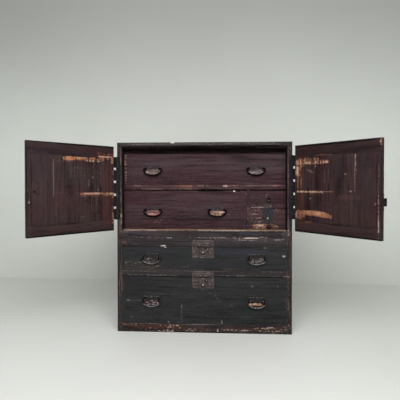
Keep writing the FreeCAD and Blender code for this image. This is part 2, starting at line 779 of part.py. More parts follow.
door("left_door", 1, "left_hinge_stile_width")
door("right_door", -1, "right_hinge_stile_width")
left_leaf, left_pin = hinge("left_hinge", 1, "left_hinge_rise")
right_leaf, right_pin = hinge("right_hinge", -1, "right_hinge_rise")
node(group("hinge_frame_leaves", [left_leaf, right_leaf]))
node(group("hinge_pins", [left_pin, right_pin]))

# Iron plates on the outer faces of the doors, where they meet
plate_low = "lock_line - door_plate_height / 2"
node(swung(joined("right_door_lock_plate", [
    door_board("door_lock_sheet", -1, "door_end - door_plate_width", "door_plate_width",
               "door_face - door_plate_thickness", "door_plate_thickness", plate_low,
               "door_plate_height"),
    door_board("door_lock_tongue", -1, "door_end - tongue_reach", "2 * tongue_reach",
               "door_face - plate_thickness - tongue_gap - door_plate_thickness",
               "door_plate_thickness", "lock_line - tongue_height / 2", "tongue_height"),
]), -1))
node(swung(group("left_door_catch_plate", [
    door_board("catch_sheet", 1, "door_end - door_plate_width", "door_plate_width",
               "door_face - plate_thickness", "plate_thickness", plate_low, "door_plate_height"),
]), 1))

document.recompute()

# Every object has to be sound before anything is written
for thing in document.Objects:
    if any(word in state for state in thing.State for word in ("Invalid", "Error")):
        raise RuntimeError(f"{thing.Label} did not build: {thing.State}")
labels = [thing.Label for thing in nodes]
if len(set(labels)) != len(labels):
    raise RuntimeError("two pieces share a label")
os.makedirs("parts", exist_ok=True)
for thing in nodes:
    shape = thing.Shape
    if shape.isNull() or not shape.isValid() or shape.Volume <= 0:
        raise RuntimeError(f"{thing.Label} has no sound solid")
    shape.exportStep(f"parts/{thing.Label}.step")
print(len(nodes), "pieces written")
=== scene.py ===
"""Looks of the isho clothing chest: two worn lacquered cases, stained doors and inner drawers, and
forged ironwork. Laid out as a Blender add-on and run as a script. Lengths are in metres, except
that wear tables, grain sizes and material patterns are in millimetres. X runs right, Y back and
Z up."""

import json
import math

import bmesh
import bpy
from bpy.props import FloatProperty, FloatVectorProperty, PointerProperty
from mathutils import Matrix, Vector, noise


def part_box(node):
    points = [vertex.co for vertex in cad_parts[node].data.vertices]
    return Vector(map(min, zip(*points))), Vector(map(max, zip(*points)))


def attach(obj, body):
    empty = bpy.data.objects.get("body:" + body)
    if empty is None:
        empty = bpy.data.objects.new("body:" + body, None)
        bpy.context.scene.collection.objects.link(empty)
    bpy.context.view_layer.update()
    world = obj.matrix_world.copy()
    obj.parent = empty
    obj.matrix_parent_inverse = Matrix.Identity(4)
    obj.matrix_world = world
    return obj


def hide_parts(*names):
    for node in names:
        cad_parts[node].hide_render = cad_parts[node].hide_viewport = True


bl_info = {
    "name": "Isho clothing chest",
    "version": (1, 0, 0),
    "blender": (4, 5, 0),
    "location": "3D View > Sidebar > Chest",
    "description": "Builds the worn boards, ironwork and nails of a two-case clothing chest",
    "category": "Object",
}

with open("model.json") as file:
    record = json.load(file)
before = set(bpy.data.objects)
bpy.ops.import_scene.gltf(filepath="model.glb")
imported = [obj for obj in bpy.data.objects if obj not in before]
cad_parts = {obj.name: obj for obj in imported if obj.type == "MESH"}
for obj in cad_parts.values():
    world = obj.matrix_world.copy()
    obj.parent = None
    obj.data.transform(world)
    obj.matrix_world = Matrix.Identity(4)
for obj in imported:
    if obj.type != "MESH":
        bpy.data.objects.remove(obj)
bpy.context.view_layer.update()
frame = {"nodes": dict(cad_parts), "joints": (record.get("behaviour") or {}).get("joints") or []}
MM = 0.001


def linear(code):
    """A linear colour from an sRGB hex value."""
    channels = [int(code[start:start + 2], 16) / 255 for start in (1, 3, 5)]
    return tuple(c / 12.92 if c <= 0.04045 else ((c + 0.055) / 1.055) ** 2.4
                 for c in channels) + (1.0,)


# Sizes and colours a user would change


def colour_property(name, description, code):
    return FloatVectorProperty(name=name, description=description, subtype="COLOR", size=4,
                               min=0.0, max=1.0, default=linear(code))


def length_property(name, description, default, low, high):
    return FloatProperty(name=name, description=description, default=default, min=low, max=high,
                         unit="LENGTH")


class ChestSizes(bpy.types.PropertyGroup):
    """Sizes of the details that the scene adds to the solids."""
    arris: length_property("Arris", "Most rounding of a board's worn edge", 0.0022, 0.0002, 0.004)
    rubbed_width: length_property("Rubbed width", "How far wear reaches in from an edge",
                                  0.006, 0.001, 0.02)
    nail_radius: length_property("Nail radius", "Radius of a forged nail's head",
                                 0.0026, 0.001, 0.006)
    nail_rise: length_property("Nail rise", "How far a nail's head stands proud",
                               0.0011, 0.0003, 0.003)
    peg_radius: length_property("Peg radius", "Radius of a wooden peg in a corner joint",
                                0.0038, 0.001, 0.01)
    line_radius: length_property("Raised line radius", "Half the width of a line on a lock plate",
                                 0.0013, 0.0004, 0.003)


class ChestColours(bpy.types.PropertyGroup):
    """Colours of the finishes before wear."""
    lower_lacquer: colour_property("Lower lacquer", "Black lacquer of the lower drawers",
                                   "#242525")
    upper_frame: colour_property("Upper frame", "Rubbed grey-brown lacquer of the upper case",
                                 "#292225")
    lower_frame: colour_property("Lower frame", "Dark brown lacquer of the lower case", "#2b2627")
    stain: colour_property("Stain", "Red-brown stain of the inner drawers", "#3a2a2e")
    left_door_stain: colour_property("Left door", "Purple-brown stain inside the left door",
                                     "#352728")
    right_door_stain: colour_property("Right door", "Stain inside the right door", "#352627")
    plain_wood: colour_property("Plain wood", "Planed paulownia of the drawer boxes", "#a88a66")
    iron: colour_property("Iron", "Blackened iron of hinges and handles", "#171315")
    lock_iron: colour_property("Lock iron", "Rubbed brown iron of the lower locks", "#403837")
    floor: colour_property("Floor", "Pale smooth floor", "#dadbd7")
    wall: colour_property("Wall", "Pale painted backdrop", "#dde1dc")


# Node trees

WORLD_MM = {"Scale": (MM, MM, MM)}
SOLID = 0.4  # the Fill of a place that is worn nearly all over
CHIP_AMOUNT = 0.7  # places with less than this Amount are tints with a soft rim
TINT_RIM, CHIP_RIM = 0.7, 0.14
WOOD_RAGGED, IRON_RAGGED = 2.6, 1.2  # how far noise eats into the rim of a worn place
BARE_ROUGHNESS = 0.85
# layers of noise in wood: length along and across the grain in mm, and detail
WOOD_LAYERS = (("fibre", 150, 10, 5.0), ("band", 520, 32, 3.0), ("cloud", 380, 120, 3.0),
               ("fleck", 13, 10, 3.0), ("rubbed", 90, 38, 4.0))
HAMMER_MM, RUST_MM = 9, 24  # sizes of hammer marks and rust clouds on iron


def add(tree, kind, inputs=(), **settings):
    """Add a node with its settings, then link or set its inputs by name or number."""
    node = tree.nodes.new(kind)
    for key, value in settings.items():
        setattr(node, key, value)
    for key, value in dict(inputs).items():
        if isinstance(value, bpy.types.NodeSocket):
            tree.links.new(value, node.inputs[key])
        else:
            node.inputs[key].default_value = value
    return node


def compute(tree, operation, *values):
    """The result of a math node."""
    return add(tree, "ShaderNodeMath", enumerate(values), operation=operation).outputs[0]


def vectors(tree, operation, *values):
    """The vector and value outputs of a vector math node."""
    return add(tree, "ShaderNodeVectorMath", enumerate(values), operation=operation).outputs


def ranged(tree, value, low, high, most=1.0):
    """A value spread from nothing at low to the most at high, cut off at both ends."""
    return add(tree, "ShaderNodeMapRange", {"Value": value, "From Min": low, "From Max": high,
                                            "To Max": most}).outputs[0]


def mixed(tree, mask, before, after):
    """One colour over another by a mask: each is a socket, a linear colour or a hex value."""
    before, after = (linear(tone) if isinstance(tone, str) else tone for tone in (before, after))
    return add(tree, "ShaderNodeMix", {0: mask, 6: before, 7: after}, data_type="RGBA").outputs[2]


def noisy(tree, point, scale, detail, roughness=0.5):
    """The value of a noise texture."""
    return add(tree, "ShaderNodeTexNoise", {"Vector": point, "Scale": scale, "Detail": detail,
                                            "Roughness": roughness}).outputs[0]


def measured(tree, turn):
    """Object coordinates in mm, in the world's frame or in a door's."""
    where = add(tree, "ShaderNodeTexCoord").outputs["Object"]
    return add(tree, "ShaderNodeMapping", {"Vector": where, **turn},
               vector_type="TEXTURE").outputs[0]


def edge_found(tree, radius, low, high, most=1.0):
    """How near a point is to an edge: there the rounded normal leaves the flat one."""
    rounded_way = add(tree, "ShaderNodeBevel", {"Radius": radius}, samples=4).outputs[0]
    flat = add(tree, "ShaderNodeNewGeometry").outputs["Normal"]
    return ranged(tree, vectors(tree, "DOT_PRODUCT", rounded_way, flat)["Value"], low, high, most)


def sockets(tree, way, names):
    """Declare a tree's named inputs or outputs."""
    for name, kind in names.items():
        tree.interface.new_socket(name=name, in_out=way, socket_type="NodeSocket" + kind)


def worn_place_tree():
    """A shared group: one worn, stained or chipped place, or a patch of painted shade, sheen or
    highlight, a box with round corners given by its middle and half size in mm. Noise eats into its
    rim, and Fill says how solid it is inside: low values leave only chips. Grain shows through it
    as streaks."""
    name = "worn_place"
    if name in bpy.data.node_groups:
        return bpy.data.node_groups[name]
    tree = bpy.data.node_groups.new(name, "ShaderNodeTree")
    sockets(tree, "INPUT", {"Point": "Vector", "Chips": "Float", "Grain": "Float",
                            "Before": "Color", "Worn": "Float", "Middle": "Vector",
                            "Half Size": "Vector", "Colour": "Color", "Amount": "Float",
                            "Ragged": "Float", "Fill": "Float", "Soft": "Float"})
    sockets(tree, "OUTPUT", {"Colour": "Color", "Worn": "Float"})
    given = tree.nodes.new("NodeGroupInput").outputs
    away = vectors(tree, "SUBTRACT", given["Point"], given["Middle"])[0]
    share = vectors(tree, "DIVIDE", away, given["Half Size"])[0]
    reach = vectors(tree, "LENGTH", vectors(tree, "MULTIPLY", share, share)[0])["Value"]
    filled = compute(tree, "MINIMUM", compute(tree, "SUBTRACT", 1.0, reach), given["Fill"])
    torn = compute(tree, "MULTIPLY_ADD", given["Chips"], given["Ragged"], filled)
    cover = ranged(tree, torn, 0.0, given["Soft"], given["Amount"])
    through = add(tree, "ShaderNodeMapRange", {"Value": given["Grain"], "From Min": -0.16,
                                               "From Max": 0.06, "To Min": 0.45}).outputs[0]
    mask = compute(tree, "MULTIPLY", cover, through)
    add(tree, "NodeGroupOutput", {"Colour": mixed(tree, mask, given["Before"], given["Colour"]),
                                  "Worn": compute(tree, "MAXIMUM", given["Worn"], mask)})
    return tree


def wear(tree, point, chips, grain, colour, worn, places, ragged):
    """Lay a chain of places over a colour, worn ones and patches of painted shade, sheen or
    highlight alike; returns the colour and how worn it is, counting painted places as worn.
    """
    for middle, half, code, amount, fill in places:
        here = add(tree, "ShaderNodeGroup", {
            "Point": point, "Chips": chips, "Grain": grain, "Before": colour, "Worn": worn,
            "Middle": middle, "Half Size": half, "Colour": linear(code), "Amount": amount,
            "Ragged": ragged, "Fill": fill, "Soft": TINT_RIM if amount < CHIP_AMOUNT else CHIP_RIM,
        }, node_tree=worn_place_tree())
        colour, worn = here.outputs["Colour"], here.outputs["Worn"]
    return colour, worn


def new_material(name):
    """An empty material and its tree."""
    material = bpy.data.materials.new(name)
    material.use_nodes = True
    material.node_tree.nodes.clear()
    return material, material.node_tree


def finished(tree, colour, rough, height, bump, sheen, depth=0.8 * MM, metal=0.0):
    """Close a tree with its shader: colour, roughness and relief from nodes, the rest plain."""
    relief = add(tree, "ShaderNodeBump", {"Height": height, "Strength": bump, "Distance": depth})
    shader = add(tree, "ShaderNodeBsdfPrincipled", {
        "Base Color": colour, "Roughness": rough, "Metallic": metal, "Specular IOR Level": sheen,
        "Normal": relief.outputs[0]})
    add(tree, "ShaderNodeOutputMaterial", {"Surface": shader.outputs[0]})
    return shader


def old_wood(name, coat, dark, light, warm, *, rub, rubbing, figure, places=(), grain="x",
             turn=WORLD_MM, gloss=0.5, chips=0.0, sheen=0.14):
    """Stained or lacquered softwood, hand-planed and worn: the grain shows as long soft streaks
    darker and lighter than the coat, wide clouds are warmer, the coat is rubbed along the edges and
    gone in places, and some of the places given paint shade, sheen or highlight instead. Real
    fibres are under 1 mm wide; they are drawn 10 mm wide, as fine as the render shows."""
    if name in bpy.data.materials:
        return bpy.data.materials[name]
    material, tree = new_material(name)
    point = measured(tree, turn)
    seen = {}
    for layer, along, across, detail in WOOD_LAYERS:
        wide, high = (along, across) if grain == "x" else (across, along)
        spread = add(tree, "ShaderNodeMapping", {
            "Vector": point, "Scale": (1 / wide, 1 / across, 1 / high),
            "Location": (0.0, 0.0, across * 0.37)}).outputs[0]
        seen[layer] = noisy(tree, spread, 1.0, detail, 0.62)
    colour = coat
    for layer, low, high, most, tone in (
            ("cloud", 0.42, 0.62, 1.0, warm),
            ("band", 0.47, 0.34, 0.8 * figure, dark), ("band", 0.53, 0.66, 0.7 * figure, light),
            ("fibre", 0.48, 0.33, figure, dark), ("fibre", 0.54, 0.68, figure, light),
            ("fleck", 0.46, 0.32, 0.55 * figure, dark),
            ("fleck", 0.55, 0.7, 0.45 * figure, light)):
        colour = mixed(tree, ranged(tree, seen[layer], low, high, most), colour, tone)
    # the coat is rubbed off along edges on any face, in patches
    edge = edge_found(tree, bpy.context.scene.chest_sizes.rubbed_width, 0.995, 0.9)
    worn = compute(tree, "MULTIPLY", edge, ranged(tree, seen["rubbed"], 0.38, 0.6, rubbing))
    colour = mixed(tree, worn, colour, rub)
    if chips:
        for low, high, tone in ((0.64, 0.72, "#736a63"), (0.36, 0.28, "#120e0f")):
            colour = mixed(tree, ranged(tree, seen["fleck"], low, high, chips), colour, tone)
    grain_seen = compute(tree, "ADD", seen["fibre"], -0.5)
    both = compute(tree, "ADD", seen["fibre"], seen["fleck"])
    rim = compute(tree, "MULTIPLY_ADD", both, 0.5, -0.5)
    colour, worn = wear(tree, point, rim, grain_seen, colour, worn, places, WOOD_RAGGED)
    # bare wood is duller and a little lower than the coat around it
    dull = add(tree, "ShaderNodeMapRange", {"Value": worn, "To Min": gloss,
                                            "To Max": BARE_ROUGHNESS}).outputs[0]
    rough = compute(tree, "MULTIPLY_ADD", seen["fibre"], 0.16, dull)
    height = compute(tree, "MULTIPLY_ADD", worn, -0.7, seen["fibre"])
    finished(tree, colour, rough, height, 0.35, sheen)
    return material


FRONT_REACH = 26.0  # mm that a worn place on a front goes in
DOOR_INSIDE, DOOR_REACH = 20.6, 9.0  # a door's inner face from its pin, and how far wear goes in


def front_places(table, depth=0.0, reach=FRONT_REACH):
    """Wear, painted shade, sheen and highlight read on a front face: middle x and z, half width and
    height, colour, amount and fill.
    """
    return [((x, depth, z), (half_x, reach, half_z), code, amount, *(fill or [SOLID]))
            for x, z, half_x, half_z, code, amount, *fill in table]


def door_places(table):
    """Wear on a door's inner face, measured in mm from the hinge pin and from the floor."""
    return front_places(table, DOOR_INSIDE, DOOR_REACH)


def behind_bail(x, pin, bare, pale, fill=0.05):
    """Wear rows behind a hanging bail: a dark ring where it lies, partly dirt and partly the bail's
    painted shadow, bare wood within, and paler scratches from fingernails."""
    # dark rows, partly dirt and partly the bail's painted shadow on the wood
    dirt_and_shadow = "#0d0809"
    return [(x, pin - 11, 50, 10, dirt_and_shadow, 0.95, 0.5), (x, pin - 25, 43, 10, dirt_and_shadow, 0.95, 0.5),
            (x, pin - 36, 27, 5, dirt_and_shadow, 0.95, 0.4), (x, pin - 12, 43, 9, bare, 1.0, 0.5),
            (x, pin - 22, 35, 8, bare, 1.0, 0.5), (x, pin - 28, 24, 5, bare, 1.0, 0.5),
            (x, pin - 17, 36, 12, pale, 0.85, fill)]


def chest_colours():
    return bpy.context.scene.chest_colours


# along the seam of the two cases, where both have lost their finish
SEAM_WEAR = [
    (68, 499, 148, 2.6, "#7d7371", 0.9, 0.05),
    (250, 498, 36, 4.2, "#a8988f", 1.0, 0.3),
    (308, 501, 23, 3, "#857472", 0.9, 0.2),
    (-172, 498, 21, 3, "#938b88", 0.9, 0.1),
    (-330, 499, 90, 2, "#6a6462", 0.8, 0.0),
]
UPPER_FRAME_WEAR_AND_SHADE = [
    (0, 988, 470, 9, "#565150", 0.68),
    (-300, 986, 90, 5, "#6a6562", 0.85, -0.1),
    (38, 987, 26, 6, "#7a7672", 0.85, 0.05),
    (250, 986, 120, 5, "#6a6562", 0.85, -0.1),
    (-161, 993, 11, 3.6, "#c7c4bd", 1.0),
    # painted shade on the lowest rows of the top board's front
    (0, 973.5, 452, 5.5, "#0e090a", 1.0),
    (-452, 745, 4, 240, "#1f1b1d", 0.8),
    (452, 745, 4, 240, "#221d1e", 0.8),
    (-434, 740, 3.4, 215, "#655550", 0.95, 0.05),
    (-433, 600, 3.4, 30, "#94806f", 1.0, 0.1),
    (434, 740, 4, 215, "#544747", 0.9, 0.0),
    (441, 860, 8, 80, "#6b6060", 0.9, -0.16),
    (-442, 860, 8, 80, "#615858", 0.9, -0.18),
    (-441, 560, 9, 45, "#544745", 0.65),
    (-419, 520, 24, 15, "#564c49", 0.65),
    (425, 519, 26, 19, "#544a46", 0.65),
    (425, 524, 24, 15, "#75685e", 0.9, -0.12),
    (-332, 516, 68, 12, "#2c2636", 0.69),
    (-172, 516, 51, 12, "#2a352d", 0.69),
    (247, 519, 70, 10, "#32323f", 0.69),
    (40, 515, 110, 10, "#38373a", 0.6),
]
# middle, half size, colour, amount and fill of places that lie on more than one face
UPPER_FRAME_CORNERS = [
    ((-327.0, 12.0, 537.0), (95.0, 16.0, 4.2), "#a89d9b", 0.95, 0.15),
    ((-136.0, 12.0, 537.0), (98.0, 16.0, 4.0), "#84726f", 0.9, 0.15),
    ((93.0, 12.0, 537.0), (132.0, 16.0, 4.4), "#b8adaa", 0.95, 0.15),
    ((328.0, 12.0, 538.0), (103.0, 16.0, 4.4), "#a8968e", 0.95, 0.15),
    # painted shade: the inner faces of both sides and the underside of the top board, near black in
    # the recess behind the doors
    ((-431.0, 30.0, 750.0), (5.0, 26.0, 222.0), "#140a09", 0.95, 0.9),
    ((431.0, 30.0, 750.0), (5.0, 26.0, 222.0), "#110807", 0.95, 0.9),
    ((0.0, 28.0, 970.0), (452.0, 27.0, 7.0), "#0e0809", 0.95, 0.9),
]


def upper_frame_wood(grain):
    """Black lacquer over hinoki, rubbed to grey-brown: the eye sees soft dull streaks, pale rubbed
    edges and a few bare chips."""
    return old_wood("rubbed_lacquered_softwood_upper_" + grain, chest_colours().upper_frame,
                    "#171213", "#463f3e", "#2f2123", grain=grain, rub="#57504e", rubbing=0.6,
                    figure=0.85, chips=0.4,
                    places=front_places(UPPER_FRAME_WEAR_AND_SHADE + SEAM_WEAR) + UPPER_FRAME_CORNERS)


LOWER_FRAME_WEAR_AND_SHADOW = [
    (230, 488, 200, 8, "#50474a", 0.68),
    (-230, 488, 200, 8, "#3a3638", 0.68),
    (230, 490, 200, 6, "#7d7170", 0.9, -0.1),
    # painted shadow under the front edge of the lower top board
    (-220, 478, 190, 2.2, "#15100f", 0.8),
    (0, 466, 430, 12, "#29262d", 0.69),
    (-361, 461, 18, 2.6, "#5e5c5e", 0.9, 0.1),
    (-212, 453, 13, 6, "#b5aca8", 1.0, 0.12),
    (-420, 458, 16, 16, "#5f4a42", 0.9, -0.05),
    (0, 310, 430, 15, "#2f2c2d", 0.69),
    (0, 322, 430, 3, "#4f4644", 0.9, -0.04),
    (0, 296, 430, 2, "#0c090a", 0.95, 0.3),
    (-250, 300.5, 181, 1.8, "#6b6360", 0.9, 0.0),
    (220, 301.5, 166, 1.8, "#736b68", 0.9, 0.0),
    (430, 300, 22, 2.6, "#6f6058", 0.9, 0.1),
    (-451, 270, 3, 240, "#1f1b19", 0.8),
    (-442, 270, 6, 225, "#55493f", 0.9, -0.12),
    (-430, 330, 2.4, 150, "#574b46", 0.8, 0.0),
    (-430, 252, 2.8, 38, "#7d6c62", 0.9, 0.15),
    (430, 265, 3.4, 225, "#5d4f49", 0.9, -0.02),
    (437, 192, 3, 97, "#6b5c52", 0.9, 0.0),
    (-419, 47, 18, 18, "#805e50", 0.95, -0.02),
    (430, 35, 23, 20, "#4d423d", 0.65),
    (430, 37, 20, 17, "#75675d", 0.9, -0.1),
    (-248, 27, 170, 12, "#412822", 0.9, 0.15),
    (60, 24, 130, 14, "#40302c", 0.85, 0.1),
    (290, 26, 130, 14, "#3b2924", 0.85, 0.1),
    (-154, 28, 34, 8, "#a08a7a", 1.0, -0.05),
    (-270, 38, 120, 5, "#8d7568", 1.0, -0.08),
    (-320, 14, 100, 9, "#9c8576", 1.0, -0.08),
    (-130, 12, 110, 8, "#a8988a", 1.0, -0.08),
    (40, 16, 120, 10, "#857067", 1.0, -0.08),
    (306, 32, 52, 7, "#94806f", 1.0, -0.02),
    (250, 12, 160, 8, "#948274", 1.0, -0.08),
    (380, 20, 50, 12, "#8a7567", 1.0, -0.06),
    (73, 13, 4, 7, "#a89c8e", 1.0),
    (-238, 44, 168, 2, "#75665e", 0.9, 0.05),
    (-4, 45, 67, 2.6, "#7b6a67", 0.9, 0.15),
]


def lower_frame_wood(grain):
    """The same lacquer nearer the floor: darker, with red-brown showing where feet and drawers
    rub."""
    return old_wood("rubbed_lacquered_softwood_lower_" + grain, chest_colours().lower_frame,
                    "#151112", "#3f3939", "#2c2224", grain=grain, rub="#544a46", rubbing=0.7,
                    figure=0.85, chips=0.5, places=front_places(LOWER_FRAME_WEAR_AND_SHADOW + SEAM_WEAR))


LOWER_FRONT_WEAR_SHADOW_AND_SHEEN = [
    # painted sheen: a bluish tint along the top of the shallow drawer
    (171, 428, 215, 18, "#2b2935", 0.69),
    (-370, 230, 70, 55, "#191a1a", 0.6),
    # painted sheen: the same bluish tint on the left
    (-250, 428, 170, 16, "#2a2830", 0.65),
    (-142, 374, 82, 45, "#212521", 0.65),
    (300, 150, 130, 50, "#1c2421", 0.6),
    (60, 340, 180, 26, "#292428", 0.6),
    (-332, 336, 98, 14, "#352e2e", 0.69),
    (-372, 364, 44, 4, "#6f655f", 0.9, 0.0),
    (-340, 346, 90, 16, "#463a39", 0.69),
    (-332, 340, 98, 17, "#6b5c56", 0.95, -0.1),
    (-280, 334, 160, 8, "#5c4c47", 0.9, -0.12),
    (60, 338, 240, 8, "#54484a", 0.9, -0.16),
    (-372, 364, 34, 3.6, "#5f5752", 0.9, -0.05),
    (154, 336, 60, 7, "#443839", 0.69),
    (154, 335, 60, 5, "#5c4f4d", 0.9, -0.2),
    (-206, 450, 12, 5, "#b5aca8", 1.0, 0.1),
    (412, 404, 8, 4.5, "#b5b0ac", 1.0, 0.2),
    (316, 447, 4, 4, "#66625f", 0.9),
    (388, 367, 10, 4, "#5c5652", 0.9, 0.0),
    (-84, 346, 15, 13, "#4a4847", 0.9, -0.15),
    (429, 400, 4, 70, "#4d3c36", 0.9, 0.0),
    *behind_bail(-274, 396, "#352f30", "#857c7b", -0.02),
    *behind_bail(274, 396, "#352f30", "#857c7b", -0.02),
    (252, 247, 6, 5.5, "#66625f", 0.95, 0.1),
    (248, 258, 5, 3, "#4c4a48", 0.85, 0.0),
    (381, 250, 4, 9, "#4c4a4a", 0.85, 0.1),
    (61, 196, 5, 5, "#54514e", 0.9, 0.1),
    (70, 182, 6, 5, "#4a4846", 0.9, 0.1),
    (18, 222, 5, 3, "#454341", 0.85, 0.1),
    (44, 206, 5, 3, "#484644", 0.85, 0.1),
    (84, 170, 5, 4, "#3f3d3c", 0.85, 0.1),
    (0, 200, 300, 70, "#4a4846", 0.75, -0.34),
    (-250, 215, 150, 60, "#454341", 0.75, -0.36),
    (250, 100, 150, 40, "#454341", 0.75, -0.34),
    (30, 210, 7, 4, "#434140", 0.8, 0.1),
    (-116, 102, 3, 52, "#454443", 0.8, 0.2),
    (-116, 138, 5, 5, "#5c5a57", 0.8),
    (-396, 166, 11, 3, "#666360", 0.9, 0.2),
    (-354, 167, 32, 1.8, "#4c4a48", 0.8, 0.1),
    (-384, 79, 13, 3.2, "#6b6865", 0.95, 0.1),
    (-185, 52, 4, 5.5, "#8d857c", 0.95, 0.1),
    (-134, 51, 9, 4, "#6e6862", 0.9, 0.0),
    (94, 60, 4, 9, "#66625c", 0.9, 0.2),
    (145, 146, 5, 5, "#484644", 0.9, 0.2),
    *behind_bail(-274, 172, "#352b2f", "#a08c8f", -0.03),
    *behind_bail(274, 172, "#241e1c", "#6b5a50", -0.1),
    (266, 154, 36, 5.5, "#a57f62", 1.0, 0.1),
    (260, 155, 26, 3, "#c7ab92", 0.9, 0.0),
    (425, 170, 4, 115, "#453a34", 0.8, 0.0),
    (-425, 170, 4, 110, "#3d3632", 0.8, 0.0),
]


def lower_front_wood():
    """Black lacquer on wide softwood drawer fronts: near black with a soft sheen, part of it
    painted as bluish tints near the top of the shallow drawer, fine scratches and a few chips down
    to pale ground."""
    return old_wood("black_lacquered_drawer_front", chest_colours().lower_lacquer, "#131313",
                    "#333232", "#252529", rub="#3f3a38", rubbing=0.5, gloss=0.46, figure=0.85,
                    chips=0.2, places=front_places(LOWER_FRONT_WEAR_SHADOW_AND_SHEEN))


INNER_WEAR_AND_SHADE = [
    (-300, 880, 130, 60, "#40353a", 0.6),
    (-58, 848, 90, 14, "#3a262c", 0.65),
    (18, 918, 65, 10, "#3a262c", 0.65),
    (156, 818, 47, 16, "#402b31", 0.6),
    (-281, 886, 40, 9, "#42404a", 0.6),
    (-424, 872, 8, 66, "#75523f", 0.95, 0.0),
    (-424, 860, 7, 75, "#a08070", 0.95, -0.06),
    (0, 760, 440, 12, "#4d3838", 0.65),
    (-271, 762, 119, 7, "#533a3d", 0.69),
    (-358, 770, 18, 3.6, "#7c6567", 0.9, 0.1),
    (-110, 766, 47, 7, "#6f4d42", 0.9, 0.05),
    (31, 769, 68, 6, "#7f6e66", 0.95, -0.02),
    (112, 766, 12, 9, "#a08380", 1.0, 0.1),
    (156, 763, 31, 8, "#735556", 0.95, -0.05),
    (323, 770, 105, 2.2, "#6e5655", 0.95, 0.2),
    (378, 768, 15, 4, "#855d4c", 0.95, 0.1),
    (-214, 751, 176, 2.2, "#75605a", 0.9, 0.1),
    (-384, 739, 43, 2.4, "#705c52", 0.9, 0.1),
    (34, 744, 70, 7, "#0a0506", 1.0),
    (160, 742, 4.5, 4.5, "#d8d0d0", 1.0),
    (182, 743, 11, 6, "#160e10", 0.9),
    (218, 728, 12, 3, "#6b5954", 0.8, 0.05),
    (227, 720, 3, 9, "#6b5954", 0.8, 0.1),
    (-89, 696, 70, 24, "#3a2327", 0.65),
    (-274, 582, 42, 14, "#7a543f", 0.95, -0.1),
    *behind_bail(-274, 859, "#66524f", "#a89894", 0.0),
    *behind_bail(274, 859, "#554546", "#8d8082", 0.0),
    *behind_bail(-274, 640, "#75504e", "#b08d84", 0.0),
    *behind_bail(70, 640, "#6f534a", "#c4a996", 0.03),
    (128, 612, 12, 2.6, "#8a756c", 0.9, 0.1),
    (310, 712, 70, 30, "#392f32", 0.5),
    (341, 690, 8, 6, "#6a625f", 0.9, 0.1),
    (280, 654, 34, 3.2, "#8d7a72", 1.0, 0.25),
    (280, 667, 34, 3.6, "#665655", 0.9, 0.05),
    (399, 662, 35, 9, "#513a3f", 0.69),
    (399, 648, 34, 2.6, "#0f0809", 0.9),
    (234, 600, 6, 66, "#6f524b", 0.9, 0.1),
    (234, 702, 8, 48, "#32262a", 1.0, 0.8),
    (275, 606, 39, 44, "#463433", 0.69),
    (275, 608, 39, 42, "#7d6861", 0.9, -0.1),
    (302, 604, 16, 40, "#70584f", 0.9, -0.08),
    (400, 610, 33, 38, "#3f2c2b", 0.65),
    (395, 606, 33, 38, "#6f554c", 0.9, -0.14),
    (326, 553, 67, 14, "#805b49", 1.0, 0.1),
    (300, 556, 26, 12, "#a88c76", 1.0, 0.1),
    (372, 555, 22, 10, "#947a6c", 0.95, 0.0),
    (341, 712, 16, 14, "#5c504e", 0.85, 0.0),
    (0, 538, 440, 3, "#5f463f", 0.8, 0.0),
    # painted shade: the soft lower edge of the shadow under the top board
    (0, 939, 440, 3, "#1f1719", 0.6),
]


INNER_FRONT = 50.0  # mm that the inner drawers stand back
INNER_TOP_SHADE = ((0.0, 52.0, 957.0), (470.0, 40.0, 17.0), "#0b0506", 1.0, 0.9)


def inner_wood(grain):
    """Red-brown stain on softwood behind the doors: purple-brown, streaked along the grain, redder
    in patches, painted near black under the top board as shade, and bare where fingers close on the
    bails."""
    return old_wood("red_brown_stained_softwood_" + grain, chest_colours().stain, "#1b1114",
                    "#46383b", "#371f25", grain=grain, rub="#57423e", rubbing=0.45, gloss=0.58,
                    figure=0.9, sheen=0.12,
                    places=front_places(INNER_WEAR_AND_SHADE, depth=INNER_FRONT) + [INNER_TOP_SHADE])


